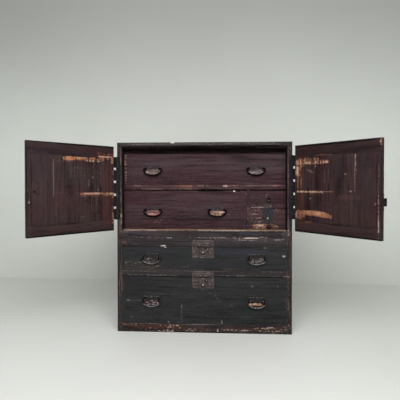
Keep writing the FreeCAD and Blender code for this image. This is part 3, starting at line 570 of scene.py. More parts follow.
LEFT_DOOR_WEAR = [
    (242, 941, 230, 27, "#281d21", 0.6),
    (242, 565, 230, 25, "#2c1d1e", 0.6),
    (402, 873, 52, 75, "#2c2429", 0.66),
    (63, 729, 33, 178, "#472824", 0.69),
    (216, 780, 90, 12, "#332d2b", 0.6),
    (160, 660, 70, 24, "#3b2d2b", 0.6),
    (390, 640, 60, 60, "#34292a", 0.6),
    (216, 821, 114, 51, "#35302c", 0.6),
    (287, 715, 70, 50, "#3c2829", 0.6),
    (160, 593, 58, 36, "#38312a", 0.65),
    (340, 600, 60, 40, "#34302b", 0.6),
    (291, 572, 73, 22, "#3e282a", 0.6),
    (265, 899, 26, 10, "#8a5a42", 1.0, 0.3),
    (240, 900, 48, 8, "#9c6a4c", 1.0, 0.1),
    (180, 902, 76, 6, "#85583f", 1.0, 0.25),
    (190, 903, 60, 3, "#b58560", 0.95, 0.1),
    (150, 897, 60, 6, "#7a5142", 1.0, 0.1),
    (142, 890, 40, 3.6, "#b0907c", 1.0, 0.1),
    (100, 906, 45, 6, "#7d5446", 0.95, 0.1),
    (79, 926, 48, 16, "#5c3229", 0.95, 0.1),
    (70, 934, 40, 11, "#94756a", 0.95, -0.06),
    (79, 915, 38, 4, "#a8846f", 1.0, 0.2),
    (37, 900, 7, 18, "#8f7058", 0.95, 0.15),
    (150, 730, 62, 7, "#7d5344", 1.0, 0.5),
    (140, 731, 48, 3.6, "#a88472", 1.0, 0.3),
    (154, 719, 56, 2.8, "#6b4d43", 0.9, 0.05),
    (58, 727, 38, 8, "#75513f", 0.95, 0.4),
    (46, 729, 20, 4, "#a5866f", 0.95, 0.15),
    (35, 722, 6, 14, "#9c8070", 0.95, 0.1),
    (338, 799, 2.8, 96, "#5f4e4e", 0.9),
    (101, 785, 3, 88, "#57453f", 0.8, 0.1),
    (450, 750, 5, 7, "#75696a", 0.95, -0.05),
    (450, 698, 6, 16, "#8d8182", 0.95, -0.06),
    (453, 720, 3, 30, "#5c504e", 0.9, -0.1),
    (422, 744, 6, 6, "#150d0f", 0.95),
    (408, 733, 12, 4, "#21181a", 0.8, 0.1),
    (165, 785, 3.5, 22, "#5a4e54", 0.8, 0.1),
    (145, 812, 5, 6, "#6a5f66", 0.8, 0.1),
    (114, 749, 4, 5, "#6b5f54", 0.9, 0.1),
    (196, 619, 8, 3.2, "#5e4a42", 0.9, 0.1),
    (149, 637, 10, 14, "#524447", 0.8, -0.1),
    (33, 700, 3.4, 150, "#8f7866", 0.95, -0.02),
    (186, 832, 1.6, 34, "#5c5050", 0.8, 0.1),
    (203, 836, 1.6, 30, "#564a4c", 0.8, 0.1),
    (221, 838, 1.6, 32, "#5c5054", 0.8, 0.1),
    (238, 834, 1.6, 30, "#52474a", 0.8, 0.1),
    (255, 838, 1.6, 26, "#4d4146", 0.8, 0.1),
    (176, 700, 1.6, 26, "#52403c", 0.8, 0.1),
    (150, 690, 1.6, 30, "#554340", 0.8, 0.1),
    (122, 694, 1.6, 26, "#523f3b", 0.8, 0.1),
    (290, 885, 40, 4, "#4d383a", 0.8, 0.1),
    (265, 735, 60, 4, "#4d3639", 0.8, 0.0),
    (180, 970, 165, 9, "#050404", 1.0, 0.8),
    (400, 970, 70, 6, "#080606", 1.0, 0.8),
    (242, 539, 225, 8, "#050404", 1.0, 0.8),
    (458, 754, 5, 225, "#0c0809", 1.0, 0.6),
]
RIGHT_DOOR_WEAR = [
    (242, 941, 230, 27, "#1f1518", 0.6),
    (242, 563, 230, 24, "#291b1c", 0.6),
    (58, 740, 32, 190, "#42281f", 0.6),
    (380, 780, 55, 130, "#251d21", 0.6),
    (395, 885, 62, 45, "#1f171b", 0.6),
    (250, 850, 60, 50, "#281e22", 0.6),
    (290, 640, 70, 50, "#332a26", 0.5),
    (330, 585, 60, 30, "#302b27", 0.5),
    (400, 600, 50, 50, "#2f2522", 0.6),
    (165, 567, 130, 14, "#352121", 0.6),
    (57, 880, 26, 20, "#875c45", 1.0, 0.15),
    (62, 884, 30, 10, "#a88068", 1.0, 0.0),
    (148, 881, 66, 10, "#7c5545", 1.0, 0.2),
    (146, 880, 62, 5, "#a88a7a", 1.0, 0.12),
    (110, 897, 56, 7, "#7d5845", 0.95, 0.08),
    (46, 839, 15, 25, "#8d654f", 1.0, 0.25),
    (44, 845, 9, 18, "#b0907c", 0.95, 0.05),
    (54, 787, 14, 30, "#6b483c", 0.95, 0.05),
    (191, 914, 43, 2.2, "#6b4c40", 0.9, 0.15),
    (104, 846, 8, 3, "#786459", 0.85, 0.2),
    (114, 840, 8, 3, "#786459", 0.85, 0.2),
    (124, 834, 8, 3, "#6b574d", 0.85, 0.2),
    (145, 862, 4, 3, "#7d6a5f", 0.9),
    (107, 739, 76, 5.2, "#8a6755", 1.0, 0.3),
    (100, 740, 66, 3, "#a88876", 1.0, 0.15),
    (215, 741, 33, 2.4, "#70513f", 0.95, 0.2),
    (176, 740, 5, 4, "#a08e84", 0.95, 0.2),
    (148, 732, 38, 3.2, "#6b4f40", 0.9, -0.02),
    (122, 637, 56, 13, "#865a44", 1.0, 0.35),
    (112, 638, 34, 7, "#a07456", 1.0, 0.2),
    (160, 634, 42, 12, "#8d6049", 1.0, 0.35),
    (166, 636, 36, 7, "#a67c5e", 1.0, 0.2),
    (196, 629, 25, 11, "#8a5f48", 1.0, 0.3),
    (222, 624, 11, 8, "#7b5541", 0.95, 0.25),
    (88, 630, 1.6, 14, "#53382c", 0.9, 0.1),
    (106, 634, 1.6, 12, "#5c4032", 0.9, 0.1),
    (124, 636, 1.6, 12, "#5c4032", 0.9, 0.1),
    (142, 636, 1.6, 12, "#634636", 0.9, 0.1),
    (180, 632, 1.6, 12, "#634636", 0.9, 0.1),
    (208, 628, 1.6, 10, "#5c4032", 0.9, 0.1),
    (58, 626, 27, 22, "#744a3b", 0.95, 0.12),
    (45, 630, 16, 15, "#a07c69", 0.95, -0.04),
    (92, 880, 1.4, 16, "#3d261c", 0.9, 0.1),
    (108, 882, 1.4, 16, "#3d261c", 0.9, 0.1),
    (124, 882, 1.4, 14, "#3d261c", 0.9, 0.1),
    (141, 881, 1.4, 12, "#42291f", 0.9, 0.1),
    (158, 881, 1.4, 11, "#42291f", 0.9, 0.1),
    (176, 880, 1.4, 10, "#42291f", 0.9, 0.1),
    (107, 592, 20, 4.6, "#573b31", 0.8, 0.15),
    (342, 880, 3, 28, "#856e62", 1.0, 0.1),
    (340, 800, 3, 68, "#65504a", 0.95, 0.1),
    (346, 860, 2, 50, "#5d4a4a", 0.9, 0.0),
    (337, 640, 2.6, 60, "#4f3c37", 0.9, 0.0),
    (443, 740, 2.6, 120, "#5d4f50", 0.9, -0.02),
    (443, 640, 2.6, 90, "#6b5c5a", 0.9, 0.05),
    (444, 595, 2.4, 24, "#8d7e78", 0.95, 0.2),
    (455, 953, 8, 14, "#85604a", 0.95, 0.15),
    (450, 946, 4, 12, "#b5a99f", 0.95, -0.02),
    (457, 922, 3, 16, "#6b4838", 0.9, 0.1),
    (236, 970, 212, 11, "#040303", 1.0, 0.8),
    (242, 539, 225, 8, "#050404", 1.0, 0.8),
    (458, 740, 4.4, 200, "#0c0809", 0.95, 0.5),
    (314, 717, 62, 12, "#493631", 0.5),
    (313, 804, 20, 28, "#352c28", 0.6),
    (297, 821, 7, 4, "#5d5450", 0.85, 0.2),
    (321, 744, 4.7, 3.4, "#7b6960", 0.9),
    (115, 707, 5, 4, "#625d60", 0.9),
    (430, 692, 3.5, 5, "#62524f", 0.9),
    (122, 796, 43, 19, "#5c463d", 0.9, -0.2),
    (56, 675, 25, 24, "#2f2220", 0.6),
    (192, 813, 2.6, 36, "#4a3d40", 0.75),
    (212, 813, 2.6, 36, "#453838", 0.75),
]


def door_wood(side, face, grain="z"):
    """Red-brown stained softwood inside the doors, its grain upright in the field and level in the
    clamping rails, with bare orange wood where the stain has flaked; outside, the black lacquer of
    the lower drawers."""
    own = chest_colours()
    pin, angle = DOOR_PINS[side]
    turn = {"Location": pin, "Rotation": (0.0, 0.0, angle),
            "Scale": (MM if side == "left" else -MM, MM, MM)}
    if face == "outer":
        return old_wood(f"black_lacquered_{side}_door_face", own.lower_lacquer, "#121010",
                        "#2e2b2b", "#262122", grain="z", turn=turn, rub="#2c2424", rubbing=0.6,
                        gloss=0.46, figure=0.6, chips=0.15)
    *tones, table = {
        "left": (own.left_door_stain, "#1a1112", "#3f3032", "#341d1e", LEFT_DOOR_WEAR),
        "right": (own.right_door_stain, "#150c0d", "#392a2b", "#2e1819", RIGHT_DOOR_WEAR),
    }[side]
    return old_wood(f"stained_{side}_door_inside_{grain}", *tones, grain=grain, turn=turn,
                    rub="#150d0e", rubbing=0.9, gloss=0.58, figure=0.95, chips=0.08, sheen=0.12,
                    places=door_places(table))


def planed_paulownia():
    """Plain paulownia, sawn thin and planed, gone dry and dusty: pale brown with soft long
    streaks."""
    return old_wood("planed_paulownia", chest_colours().plain_wood, "#84694b", "#b99f7c",
                    "#a07f5a", rub="#6f5a44", rubbing=0.4, gloss=0.72, figure=0.8)


def sawn_back_wood():
    """Back planks of the same wood, upright, darker from smoke and handling."""
    return old_wood("smoked_paulownia_back", "#7d654b", "#54412f", chest_colours().plain_wood,
                    "#6e5239", grain="z", rub="#4f3f31", rubbing=0.6, gloss=0.75, figure=0.8,
                    chips=0.2)


def forged_iron(name, coat, pits, flecks, rubbed, gloss, metal=0.3, places=(), sheen=0.4,
                contrast=0.8):
    """Hand-forged iron, blackened with lacquer over the fire: dark and uneven, a soft gleam on
    what stands proud, darker in the hollows of the hammer marks."""
    if name in bpy.data.materials:
        return bpy.data.materials[name]
    material, tree = new_material(name)
    point = measured(tree, WORLD_MM)
    hammer = noisy(tree, point, 1 / HAMMER_MM, 3.0, 0.6)
    rust = noisy(tree, point, 1 / RUST_MM, 5.0, 0.65)
    colour = coat
    for value, low, high, tone, most in ((rust, 0.5, 0.68, "#36251f", 0.5),
                                         (hammer, 0.48, 0.36, pits, contrast),
                                         (hammer, 0.54, 0.66, flecks, contrast)):
        colour = mixed(tree, ranged(tree, value, low, high, most), colour, tone)
    edge = edge_found(tree, 1.2 * MM, 0.99, 0.85, 0.6)
    colour = mixed(tree, edge, colour, rubbed)
    uneven = compute(tree, "ADD", hammer, -0.5)
    colour, _ = wear(tree, point, uneven, uneven, colour, edge, places, IRON_RAGGED)
    rough = compute(tree, "MULTIPLY_ADD", rust, 0.35, gloss)
    finished(tree, colour, rough, hammer, 0.5, sheen, depth=0.7 * MM, metal=metal)
    return material


# middle and pin height of every bail, in mm
BAILS = {"upper": [(-274, 859.5), (274, 859.5), (-274, 640), (70, 640)],
         "lower": [(-274, 397.5), (274, 397.5), (-274, 173.5), (274, 173.5)]}


def handle_iron():
    """Bails, posts and rings behind the doors: near black, hardly shining."""
    return forged_iron("blackened_handle_iron", "#070404", "#040202", "#120c0d", "#1a1314", 0.7,
                       metal=0.0, sheen=0.05)


def lower_handle_iron():
    """Bails of the lower drawers, rubbed by hands: grey along the top of the curve, with painted
    shade on their ends next to the posts.
    """
    # painted shade on the ends of each bail, next to the posts
    shaded_ends = [(x + side, pin - 7, 10, 14, "#0c0a0a", 1.0, 0.6) for x, pin in BAILS["lower"]
            for side in (-46, 46)]
    return forged_iron("rubbed_handle_iron", "#5f5a5c", "#332e2f", "#858081", "#8d8788", 0.2,
                       metal=0.5, places=front_places(shaded_ends, -13.0), sheen=0.5)


def handle_plate_iron(level):
    """Thin plates behind the bails, so dull that they nearly match the wood around them, with
    painted shade round the posts and, on the lower plates, a painted highlight along the top edge.
    """
    # painted shade round the posts, on the plate
    posts = [(x + side, pin, 7, 7, "#080506", 1.0, 0.8) for x, pin in BAILS[level]
             for side in (-39, 39)]
    if level == "upper":
        return forged_iron("dull_upper_handle_plate", "#332a2e", "#1f181a", "#4c4144", "#5c5354",
                           0.5, places=front_places(posts, 40.0), sheen=0.2)
    # painted highlight along the top edge of each lower plate
    edges = [(x, pin + 16, 42, 2.2, "#6f6866", 0.9, 0.05) for x, pin in BAILS[level]]
    return forged_iron("dull_lower_handle_plate", "#232323", "#161515", "#383636", "#6a6563", 0.5,
                       places=front_places(posts + edges), sheen=0.2)


def hinge_iron():
    """Long hinges: blue-black, speckled with lighter blue-grey where the lacquer has gone."""
    return forged_iron("blackened_hinge_iron", chest_colours().iron, "#0a0708", "#34363f",
                       "#3d3739", 0.6, metal=0.0, sheen=0.15)


def lock_iron():
    """Thin lock plates rubbed through the black: pinkish brown iron, dull, lighter on raised lines
    and dark in the slits, with a painted shadow round and below each button."""
    dark = []
    for button, top in ((421.5, 449.0), (249.5, 291.0)):
        dark += [(-3.5, top + 1, 50, 3, "#0c0808", 0.95, 0.5),
                 # painted shadow of the button, round and below it
                 (-3.5, button - 4, 12, 10, "#1b1514", 0.9, 0.2),
                 (8.5, button + 20, 5, 6, "#171211", 0.9, 0.3),
                 (-26, button - 6, 10, 16, "#2c2625", 0.8, 0.0),
                 (22, button - 8, 9, 16, "#2c2625", 0.8, 0.0)]
    dark += [(-3.5, slit, 46, 2.6, "#050303", 1.0, 0.6) for slit in (451.0, 293.0)]
    for groove in (478.0, 465.5, 316.0, 305.0):
        dark += [(-3.5, groove, 48, 1.8, "#1b1514", 0.85, 0.2),
                 (-3.5, groove + 4.0, 46, 1.6, "#7d706e", 0.85, 0.1)]
    return forged_iron("rubbed_lock_iron", chest_colours().lock_iron, "#1f1918", "#756a69",
                       "#857977", 0.45, metal=0.2, places=front_places(dark), sheen=0.3,
                       contrast=0.95)


def button_iron():
    """Push buttons, rubbed bright by fingers, and painted lighter still as their highlight."""
    return forged_iron("finger_bright_highlit_button_iron", "#aca09c", "#7d7270", "#cfc6c2", "#c8beba",
                       0.25, contrast=0.5)


def blue_lock_iron():
    """The small lock's plate keeps its fire-blued skin: dark grey-blue."""
    return forged_iron("fire_blued_lock_iron", "#232225", "#141416", "#3c3d40", "#404143", 0.4,
                       sheen=0.3)


# Boards

DRAWERS = ("shallow", "deep", "top", "middle", "small_upper", "small_lower")
BLACK_DRAWERS = DRAWERS[:2]
CELL = 0.034  # length between the cuts that let an arris be uneven
LEAST_ARRIS, ARRIS_SPREAD, ARRIS_GRAIN = 0.62, 0.38, 21.0
SAME_LEVEL = 2e-4


def plank(low, high, seed=0.0, arris=None, turn=None):
    """One squared board between two corners, its arrises rounded unevenly, as hands and years do:
    the board is cut into short lengths so that each length of an edge gets its own rounding."""
    low, high = Vector(low), Vector(high)
    build = bmesh.new()
    bmesh.ops.create_cube(build, size=1.0)
    for vertex in build.verts:
        vertex.co = Vector([(a + b) / 2 + (b - a) * c for a, b, c in zip(low, high, vertex.co)])
    return rounded(build, seed, arris, turn)


def rounded(build, seed, arris, turn=None):
    """Cut a mesh of boards across its longest way and round its sharp edges by uneven amounts."""
    spans = []
    for axis in range(3):
        values = [vertex.co[axis] for vertex in build.verts]
        spans.append((max(values) - min(values), min(values), axis))
    span, start, axis = max(spans)
    normal = Vector([1.0 if number == axis else 0.0 for number in range(3)])
    cuts = int(span / CELL)
    for count in range(1, cuts):
        bmesh.ops.bisect_plane(build, geom=build.verts[:] + build.edges[:] + build.faces[:],
                               dist=1e-6, plane_co=normal * (start + span * count / cuts),
                               plane_no=normal)
    weight = build.edges.layers.float.new("bevel_weight_edge")
    for edge in build.edges:
        if len(edge.link_faces) == 2 and edge.calc_face_angle(0.0) > math.radians(30):
            middle = (edge.verts[0].co + edge.verts[1].co) / 2
            edge[weight] = LEAST_ARRIS + ARRIS_SPREAD * noise.noise(
                middle * ARRIS_GRAIN + Vector((seed, seed, 0.0)))
    mesh = bpy.data.meshes.new("board")
    build.to_mesh(mesh)
    build.free()
    holder = bpy.data.objects.new("board", mesh)
    bpy.context.scene.collection.objects.link(holder)
    bevel = holder.modifiers.new("arris", "BEVEL")
    bevel.limit_method = "WEIGHT"
    bevel.width = bpy.context.scene.chest_sizes.arris if arris is None else arris
    bevel.segments = 3
    done = taken(holder)
    if turn is not None:
        done.transform(turn)
    return done


def taken(holder):
    """The mesh that an object's modifiers make; the object and its own mesh go."""
    shown = holder.evaluated_get(bpy.context.evaluated_depsgraph_get())
    done = bpy.data.meshes.new_from_object(shown)
    mesh = holder.data
    bpy.data.objects.remove(holder)
    bpy.data.meshes.remove(mesh)
    return done


def copied(node, arris=None):
    """A CAD node's board, welded, cleared of needless triangles and rounded at its edges."""
    build = bmesh.new()
    build.from_mesh(frame["nodes"][node].data)
    bmesh.ops.remove_doubles(build, verts=build.verts, dist=1e-5)
    bmesh.ops.dissolve_limit(build, angle_limit=math.radians(1.0), verts=build.verts,
                             edges=build.edges)
    low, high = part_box(node)
    return rounded(build, (low + high).length * 13.0, arris)


def piece(name, meshes, materials, body, stands_for, pick=None):
    """Join meshes to one finished piece that rides on a body and stands for its CAD nodes."""
    build = bmesh.new()
    for mesh in meshes:
        build.from_mesh(mesh)
        bpy.data.meshes.remove(mesh)
    if pick:
        build.normal_update()
        for face in build.faces:
            face.material_index = pick(face)
    mesh = bpy.data.meshes.new(name)
    build.to_mesh(mesh)
    build.free()
    for material in materials:
        mesh.materials.append(material)
    made = shown_smooth(name, mesh, BOARD_SHARP)
    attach(made, body)
    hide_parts(*stands_for)
    return made


BOARD_SHARP, HEAD_SHARP = math.radians(28), math.radians(50)


def shown_smooth(name, mesh, sharp):
    """Link an object for a mesh, shaded smooth but for edges sharper than an angle."""
    mesh.shade_smooth()
    mesh.set_sharp_from_angle(angle=sharp)
    made = bpy.data.objects.new(name, mesh)
    bpy.context.scene.collection.objects.link(made)
    return made


def kept(node, materials, pick=None):
    """Leave a CAD node's solid showing and give it its finishes, chosen face by face if need be."""
    shown = frame["nodes"][node]
    shown.data.materials.clear()
    for material in materials:
        shown.data.materials.append(material)
    for face in shown.data.polygons:
        face.material_index = pick(face) if pick else 0


PLATE_DEPTH = 1.3 * MM


def on_wood(node):
    """Tells the faces of thin plates, which lie against the drawer front, from the posts."""
    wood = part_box(node)[1].y
    return lambda face: int(wood - face.center.y < PLATE_DEPTH)


def levels(node, axis, turn=None):
    """The flat levels of a node of plain boards along one axis, from the lowest up."""
    seen = []
    for vertex in frame["nodes"][node].data.vertices:
        place = turn @ vertex.co if turn else vertex.co
        if all(abs(place[axis] - other) > SAME_LEVEL for other in seen):
            seen.append(place[axis])
    return sorted(seen)


def joint_place(name):
    """A joint's place and rest angle, from the record."""
    joint = next(entry for entry in frame["joints"] if entry["name"] == name)
    return Vector(joint["pos_m"]), math.radians(joint["range_deg"][0]) * joint["axis"][2]


DOOR_PINS = {}
for door_side in ("left", "right"):
    pin_place, shut_turn = joint_place(door_side + "_door_hinge")
    DOOR_PINS[door_side] = ((pin_place.x, pin_place.y, 0.0), -shut_turn)


def door_turn(side):
    """From a shut door's own frame, with its pin at the origin, to where the door stands open."""
    place, angle = DOOR_PINS[side]
    return Matrix.Translation(place) @ Matrix.Rotation(angle, 4, "Z")


class CHEST_OT_case_boards(bpy.types.Operator):
    """Build the tops, sides and front rails of both cases with worn arrises"""
    bl_idname = "chest.case_boards"
    bl_label = "Case boards"

    def execute(self, context):
        for case, wood in (("upper", upper_frame_wood), ("lower", lower_frame_wood)):
            for part, grain in (("top_board", "x"), ("left_side", "z"), ("right_side", "z")):
                node = f"{case}_{part}"
                piece("worn_" + node, [copied(node)], [wood(grain)], "case", [node])
        for name, node, wood, arris in (
                ("worn_sill_rail", "upper_sill_rail", upper_frame_wood, None),
                ("worn_door_stop", "door_stop_strip", inner_wood, 0.001)):
            piece(name, [plank(*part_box(node), arris=arris)], [wood("x")], "case", [node])
        low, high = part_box("lower_front_rails")
        heights = levels("lower_front_rails", 2)
        rails = [plank((low.x, low.y, heights[number]), (high.x, high.y, heights[number + 1]),
                       seed=number) for number in range(0, len(heights), 2)]
        piece("worn_lower_rails", rails, [lower_frame_wood("x")], "case",
              ["lower_front_rails"])
        return {"FINISHED"}


class CHEST_OT_inner_frame(bpy.types.Operator):
    """Build the rails and the divider behind the doors"""
    bl_idname = "chest.inner_frame"
    bl_label = "Inner frame"

    def execute(self, context):
        low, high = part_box("inner_rails")
        small_left = levels("inner_rails", 0)[1]
        small_low, small_high, middle_low, middle_high, top_low, top_high = levels("inner_rails", 2)
        rails = [plank((left, low.y, bottom), (high.x, high.y, top), seed=seed)
                 for left, bottom, top, seed in ((low.x, middle_low, middle_high, 0.0),
                                                 (low.x, top_low, top_high, 4.0),
                                                 (small_left, small_low, small_high, 9.0))]
        piece("worn_inner_rails", rails, [inner_wood("x")], "case", ["inner_rails"])
        piece("worn_inner_divider", [copied("inner_divider", arris=0.001)], [inner_wood("z")],
              "case", ["inner_divider"])
        return {"FINISHED"}


class CHEST_OT_drawer_fronts(bpy.types.Operator):
    """Build the six drawer fronts: black below, red-brown behind the doors"""
    bl_idname = "chest.drawer_fronts"
    bl_label = "Drawer fronts"

    def execute(self, context):
        for name in DRAWERS:
            black = name in BLACK_DRAWERS
            wood = lower_front_wood() if black else inner_wood("x")
            node = name + "_drawer_front"
            piece("worn_" + node, [copied(node, arris=0.0009)], [wood, planed_paulownia()],
                  name + "_drawer", [node], pick=lambda face: int(face.normal.y > 0.9))
        return {"FINISHED"}


class CHEST_OT_hidden_boards(bpy.types.Operator):
    """Give the drawer boxes, floors and dust boards their plain wood, and build the back planks"""
    bl_idname = "chest.hidden_boards"
    bl_label = "Plain boards"

    def execute(self, context):
        floors = ["upper_bottom_board", "inner_dust_boards", "lower_dust_board",
                  "lower_bottom_board"]
        for node in floors + [name + "_drawer_box" for name in DRAWERS]:
            kept(node, [planed_paulownia()])
        sides = levels("back_boards", 0)
        heights = levels("back_boards", 2)
        front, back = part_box("back_boards")[0].y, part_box("back_boards")[1].y
        planks = []
        for row in range(len(heights) - 1):
            for number in range(0, len(sides), 2):
                # planks shrink and cup by different amounts, so their faces are not quite level
                sunk = (0.5 + 0.35 * ((number // 2 + row) % 2)) * MM
                planks.append(plank((sides[number], front, heights[row]),
                                    (sides[number + 1], back - sunk, heights[row + 1]),
                                    seed=number + 7.0 * row, arris=0.0014))
        piece("back_planks", planks, [sawn_back_wood()], "case", ["back_boards"])
        return {"FINISHED"}


TIGHT_ARRIS = 0.0007  # tight joints: their edges are broken by under a millimetre


class CHEST_OT_doors(bpy.types.Operator):
    """Build both doors board by board: clamping rails, stiles and the two-board field"""
    bl_idname = "chest.doors"
    bl_label = "Doors"

    def execute(self, context):
        for side in ("left", "right"):
            turn = door_turn(side)
            back_home = turn.inverted()
            nodes = {"frame": side + "_door_frame", "field": side + "_door_panel"}
            ways = levels(nodes["frame"], 0, back_home)
            face, inside = levels(nodes["frame"], 1, back_home)
            low, field_low, field_high, high = levels(nodes["frame"], 2)
            seam = levels(nodes["field"], 0, back_home)
            # left, right, bottom, top, how far each face is sunk, and seed of each board
            boards = {"frame": ((ways[0], ways[3], low, field_low, 0.0, 0.0, 0.0),
                                (ways[0], ways[3], field_high, high, 0.0, 0.0, 3.0),
                                (ways[0], ways[1], field_low, field_high, 0.0, 0.0, 5.0),
                                (ways[2], ways[3], field_low, field_high, 0.0, 0.0, 8.0)),
                      "field": ((seam[0], seam[1], field_low, field_high, 0.0006, 0.0003, 11.0),
                                (seam[1], seam[2], field_low, field_high, 0.0008, 0.0004, 14.0))}
            woods = [door_wood(side, "inner"), door_wood(side, "outer"),
                     door_wood(side, "inner", "x")]
            inward = turn.to_3x3() @ Vector((0.0, 1.0, 0.0))

            def facing_out(seen, inward=inward, low=field_low, high=field_high):
                """Stain inside, with level grain in the rails; lacquer outside and on the edges."""
                if seen.normal.dot(inward) < 0.5:
                    return 1
                return 0 if low < seen.calc_center_median().z < high else 2

            for part, rows in boards.items():
                meshes = [plank((left, face + out, bottom), (right, inside - back, top), seed=seed,
                                arris=TIGHT_ARRIS, turn=turn)
                          for left, right, bottom, top, out, back, seed in rows]
                piece(f"worn_{side}_door_{part}", meshes, woods, side + "_door",
                      [nodes[part]], pick=facing_out)
        return {"FINISHED"}


class CHEST_OT_ironwork(bpy.types.Operator):
    """Finish the iron of handles, ring pulls, locks, hinges and door plates"""
    bl_idname = "chest.ironwork"
    bl_label = "Ironwork"

    def execute(self, context):
        for name in frame["nodes"]:
            if name.endswith(("_bail", "_ring", "_ring_eye")):
                iron = lower_handle_iron() if name.startswith(BLACK_DRAWERS) else handle_iron()
                kept(name, [iron])
            if name.endswith("_handle_plates"):
                kept(name, [handle_iron(), handle_plate_iron("upper")], on_wood(name))
        for name in ("hinge_frame_leaves", "hinge_pins", "left_hinge_door_leaf",
                     "right_hinge_door_leaf", "left_door_catch_plate", "right_door_lock_plate"):
            kept(name, [hinge_iron()])
        for name in ("shallow_drawer_ironwork", "deep_drawer_ironwork"):
            plate = on_wood(name)

            def part_of(face, plate=plate):
                """Lock plates lie in the middle of the drawer, handle plates at both sides."""
                return 2 if abs(face.center.x) < 0.1 else plate(face)

            kept(name, [handle_iron(), handle_plate_iron("lower"), lock_iron()], part_of)
        for name in ("shallow_lock_button", "deep_lock_button", "small_lock_button"):
            kept(name, [button_iron()])
        kept("keeper_plates", [lock_iron()])
        kept("small_lower_drawer_ironwork", [blue_lock_iron()])
        return {"FINISHED"}


# Repeated pieces


def closed(tree, parts, iron, name):
    """Close a geometry tree: its parts made real, with their material."""
    real = add(tree, "GeometryNodeRealizeInstances", {0: parts}).outputs[0]
    done = add(tree, "GeometryNodeSetMaterial", {"Geometry": real, "Material": iron}).outputs[0]
    add(tree, "NodeGroupOutput", {name: done})
    return tree


def nail_tree():
    """Geometry nodes: a hammered nail or peg head on every point of a mesh, facing as its point
    says."""
    tree = bpy.data.node_groups.new("nail_heads", "GeometryNodeTree")
    sockets(tree, "INPUT", {"Points": "Geometry", "Radius": "Float", "Rise": "Float",
                            "Unevenness": "Float", "Iron": "Material"})
    sockets(tree, "OUTPUT", {"Heads": "Geometry"})
    given = tree.nodes.new("NodeGroupInput").outputs
    head = add(tree, "GeometryNodeMeshCone", {
        "Vertices": 8, "Side Segments": 1, "Fill Segments": 1, "Depth": given["Rise"],
        "Radius Top": compute(tree, "MULTIPLY", given["Radius"], 0.55),
        "Radius Bottom": given["Radius"]}).outputs[0]
    facing = add(tree, "GeometryNodeInputNamedAttribute", {"Name": "facing"},
                 data_type="FLOAT_VECTOR").outputs[0]
    turned = add(tree, "FunctionNodeAlignRotationToVector", {"Vector": facing}, axis="Z").outputs[0]
    most = compute(tree, "ADD", 1.0, given["Unevenness"])
    least = compute(tree, "SUBTRACT", 1.0, given["Unevenness"])
    size = add(tree, "FunctionNodeRandomValue", {2: least, 3: most, "Seed": 5},
               data_type="FLOAT").outputs[1]
    heads = add(tree, "GeometryNodeInstanceOnPoints", {
        "Points": given["Points"], "Instance": head, "Rotation": turned, "Scale": size}).outputs[0]
    return closed(tree, heads, given["Iron"], "Heads")


def raised_line_tree():
    """Geometry nodes: a raised line that follows the edges of a mesh, as a chased line does on
    iron."""
    tree = bpy.data.node_groups.new("raised_lines", "GeometryNodeTree")
    sockets(tree, "INPUT", {"Route": "Geometry", "Radius": "Float", "Iron": "Material"})
    sockets(tree, "OUTPUT", {"Lines": "Geometry"})
    given = tree.nodes.new("NodeGroupInput").outputs
    curve = add(tree, "GeometryNodeMeshToCurve", {"Mesh": given["Route"]}).outputs[0]
    ring = add(tree, "GeometryNodeCurvePrimitiveCircle", {"Resolution": 8,
                                                          "Radius": given["Radius"]}).outputs[0]
    tube = add(tree, "GeometryNodeCurveToMesh", {"Curve": curve, "Profile Curve": ring,
                                                 "Fill Caps": True}).outputs[0]
    return closed(tree, tube, given["Iron"], "Lines")


def grown(tree, name, mesh, inputs, body):
    """Run a geometry tree over a mesh, keep its result as a plain piece that rides on a body."""
    holder = bpy.data.objects.new(name + "_source", mesh)
    bpy.context.scene.collection.objects.link(holder)
    modifier = holder.modifiers.new("grow", "NODES")
    modifier.node_group = tree
    for item in tree.interface.items_tree:
        if item.in_out == "INPUT" and item.name in inputs:
            modifier[item.identifier] = inputs[item.name]
    made = taken(holder)
    made.name = name
    done = shown_smooth(name, made, HEAD_SHARP)
    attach(done, body)
    return done


def nailed(name, spots, body, tree, material, radius, rise):
    """Nail or peg heads at spots, each a place and the way it faces."""
    mesh = bpy.data.meshes.new(name)
    mesh.from_pydata([place for place, _ in spots], [], [])
    facing = mesh.attributes.new("facing", "FLOAT_VECTOR", "POINT")
    for number, (_, way) in enumerate(spots):
        facing.data[number].vector = way
    return grown(tree, name, mesh, {"Radius": radius, "Rise": rise, "Unevenness": 0.12,
                                    "Iron": material}, body)


OUT = Vector((0.0, -1.0, 0.0))
FINGERS = 5
NOTCH = 0.0115  # height of the gap between two fingers of a hinge
FINGER_NAILS = (0.036, 0.060)  # ways from the pin
STAGGER = 0.012  # how far finger nails sit above and below the middle by turns
DOOR_LEAF_FACE, CASE_LEAF_FACE, CASE_LEAF_X = -0.0009, -0.0015, 0.4445


def hinge_spots(side, leaf):
    """Nails of one long hinge leaf: two at each finger of the door's leaf; on the case's leaf one
    in each notch between the fingers, which lie over the rest of it when the door is shut."""
    turn = door_turn(side)
    low, high = (corner.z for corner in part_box(f"{side}_hinge_door_leaf"))
    way = 1 if side == "left" else -1
    if leaf == "case":
        return [(Vector((way * -CASE_LEAF_X, CASE_LEAF_FACE,
                         low + (high - low + NOTCH) * number / FINGERS - NOTCH / 2)), OUT)
                for number in range(1, FINGERS)]
    spots = []
    for number in range(FINGERS):
        z = low + (high - low) * (number + 0.5) / FINGERS + STAGGER * (-1) ** number
        spots += [(turn @ Vector((way * across, DOOR_LEAF_FACE, z)), turn.to_3x3() @ OUT)
                  for across in FINGER_NAILS]
    return spots


# faces that nails stand on, and where the locks and their plates lie
CASE_FACE, INNER_FACE = -0.0012, 0.0488
LOCK_X, SMALL_LOCK_X = -0.0035, 0.336
LOCK_HALF = 0.052  # from the middle of a large lock to its nails
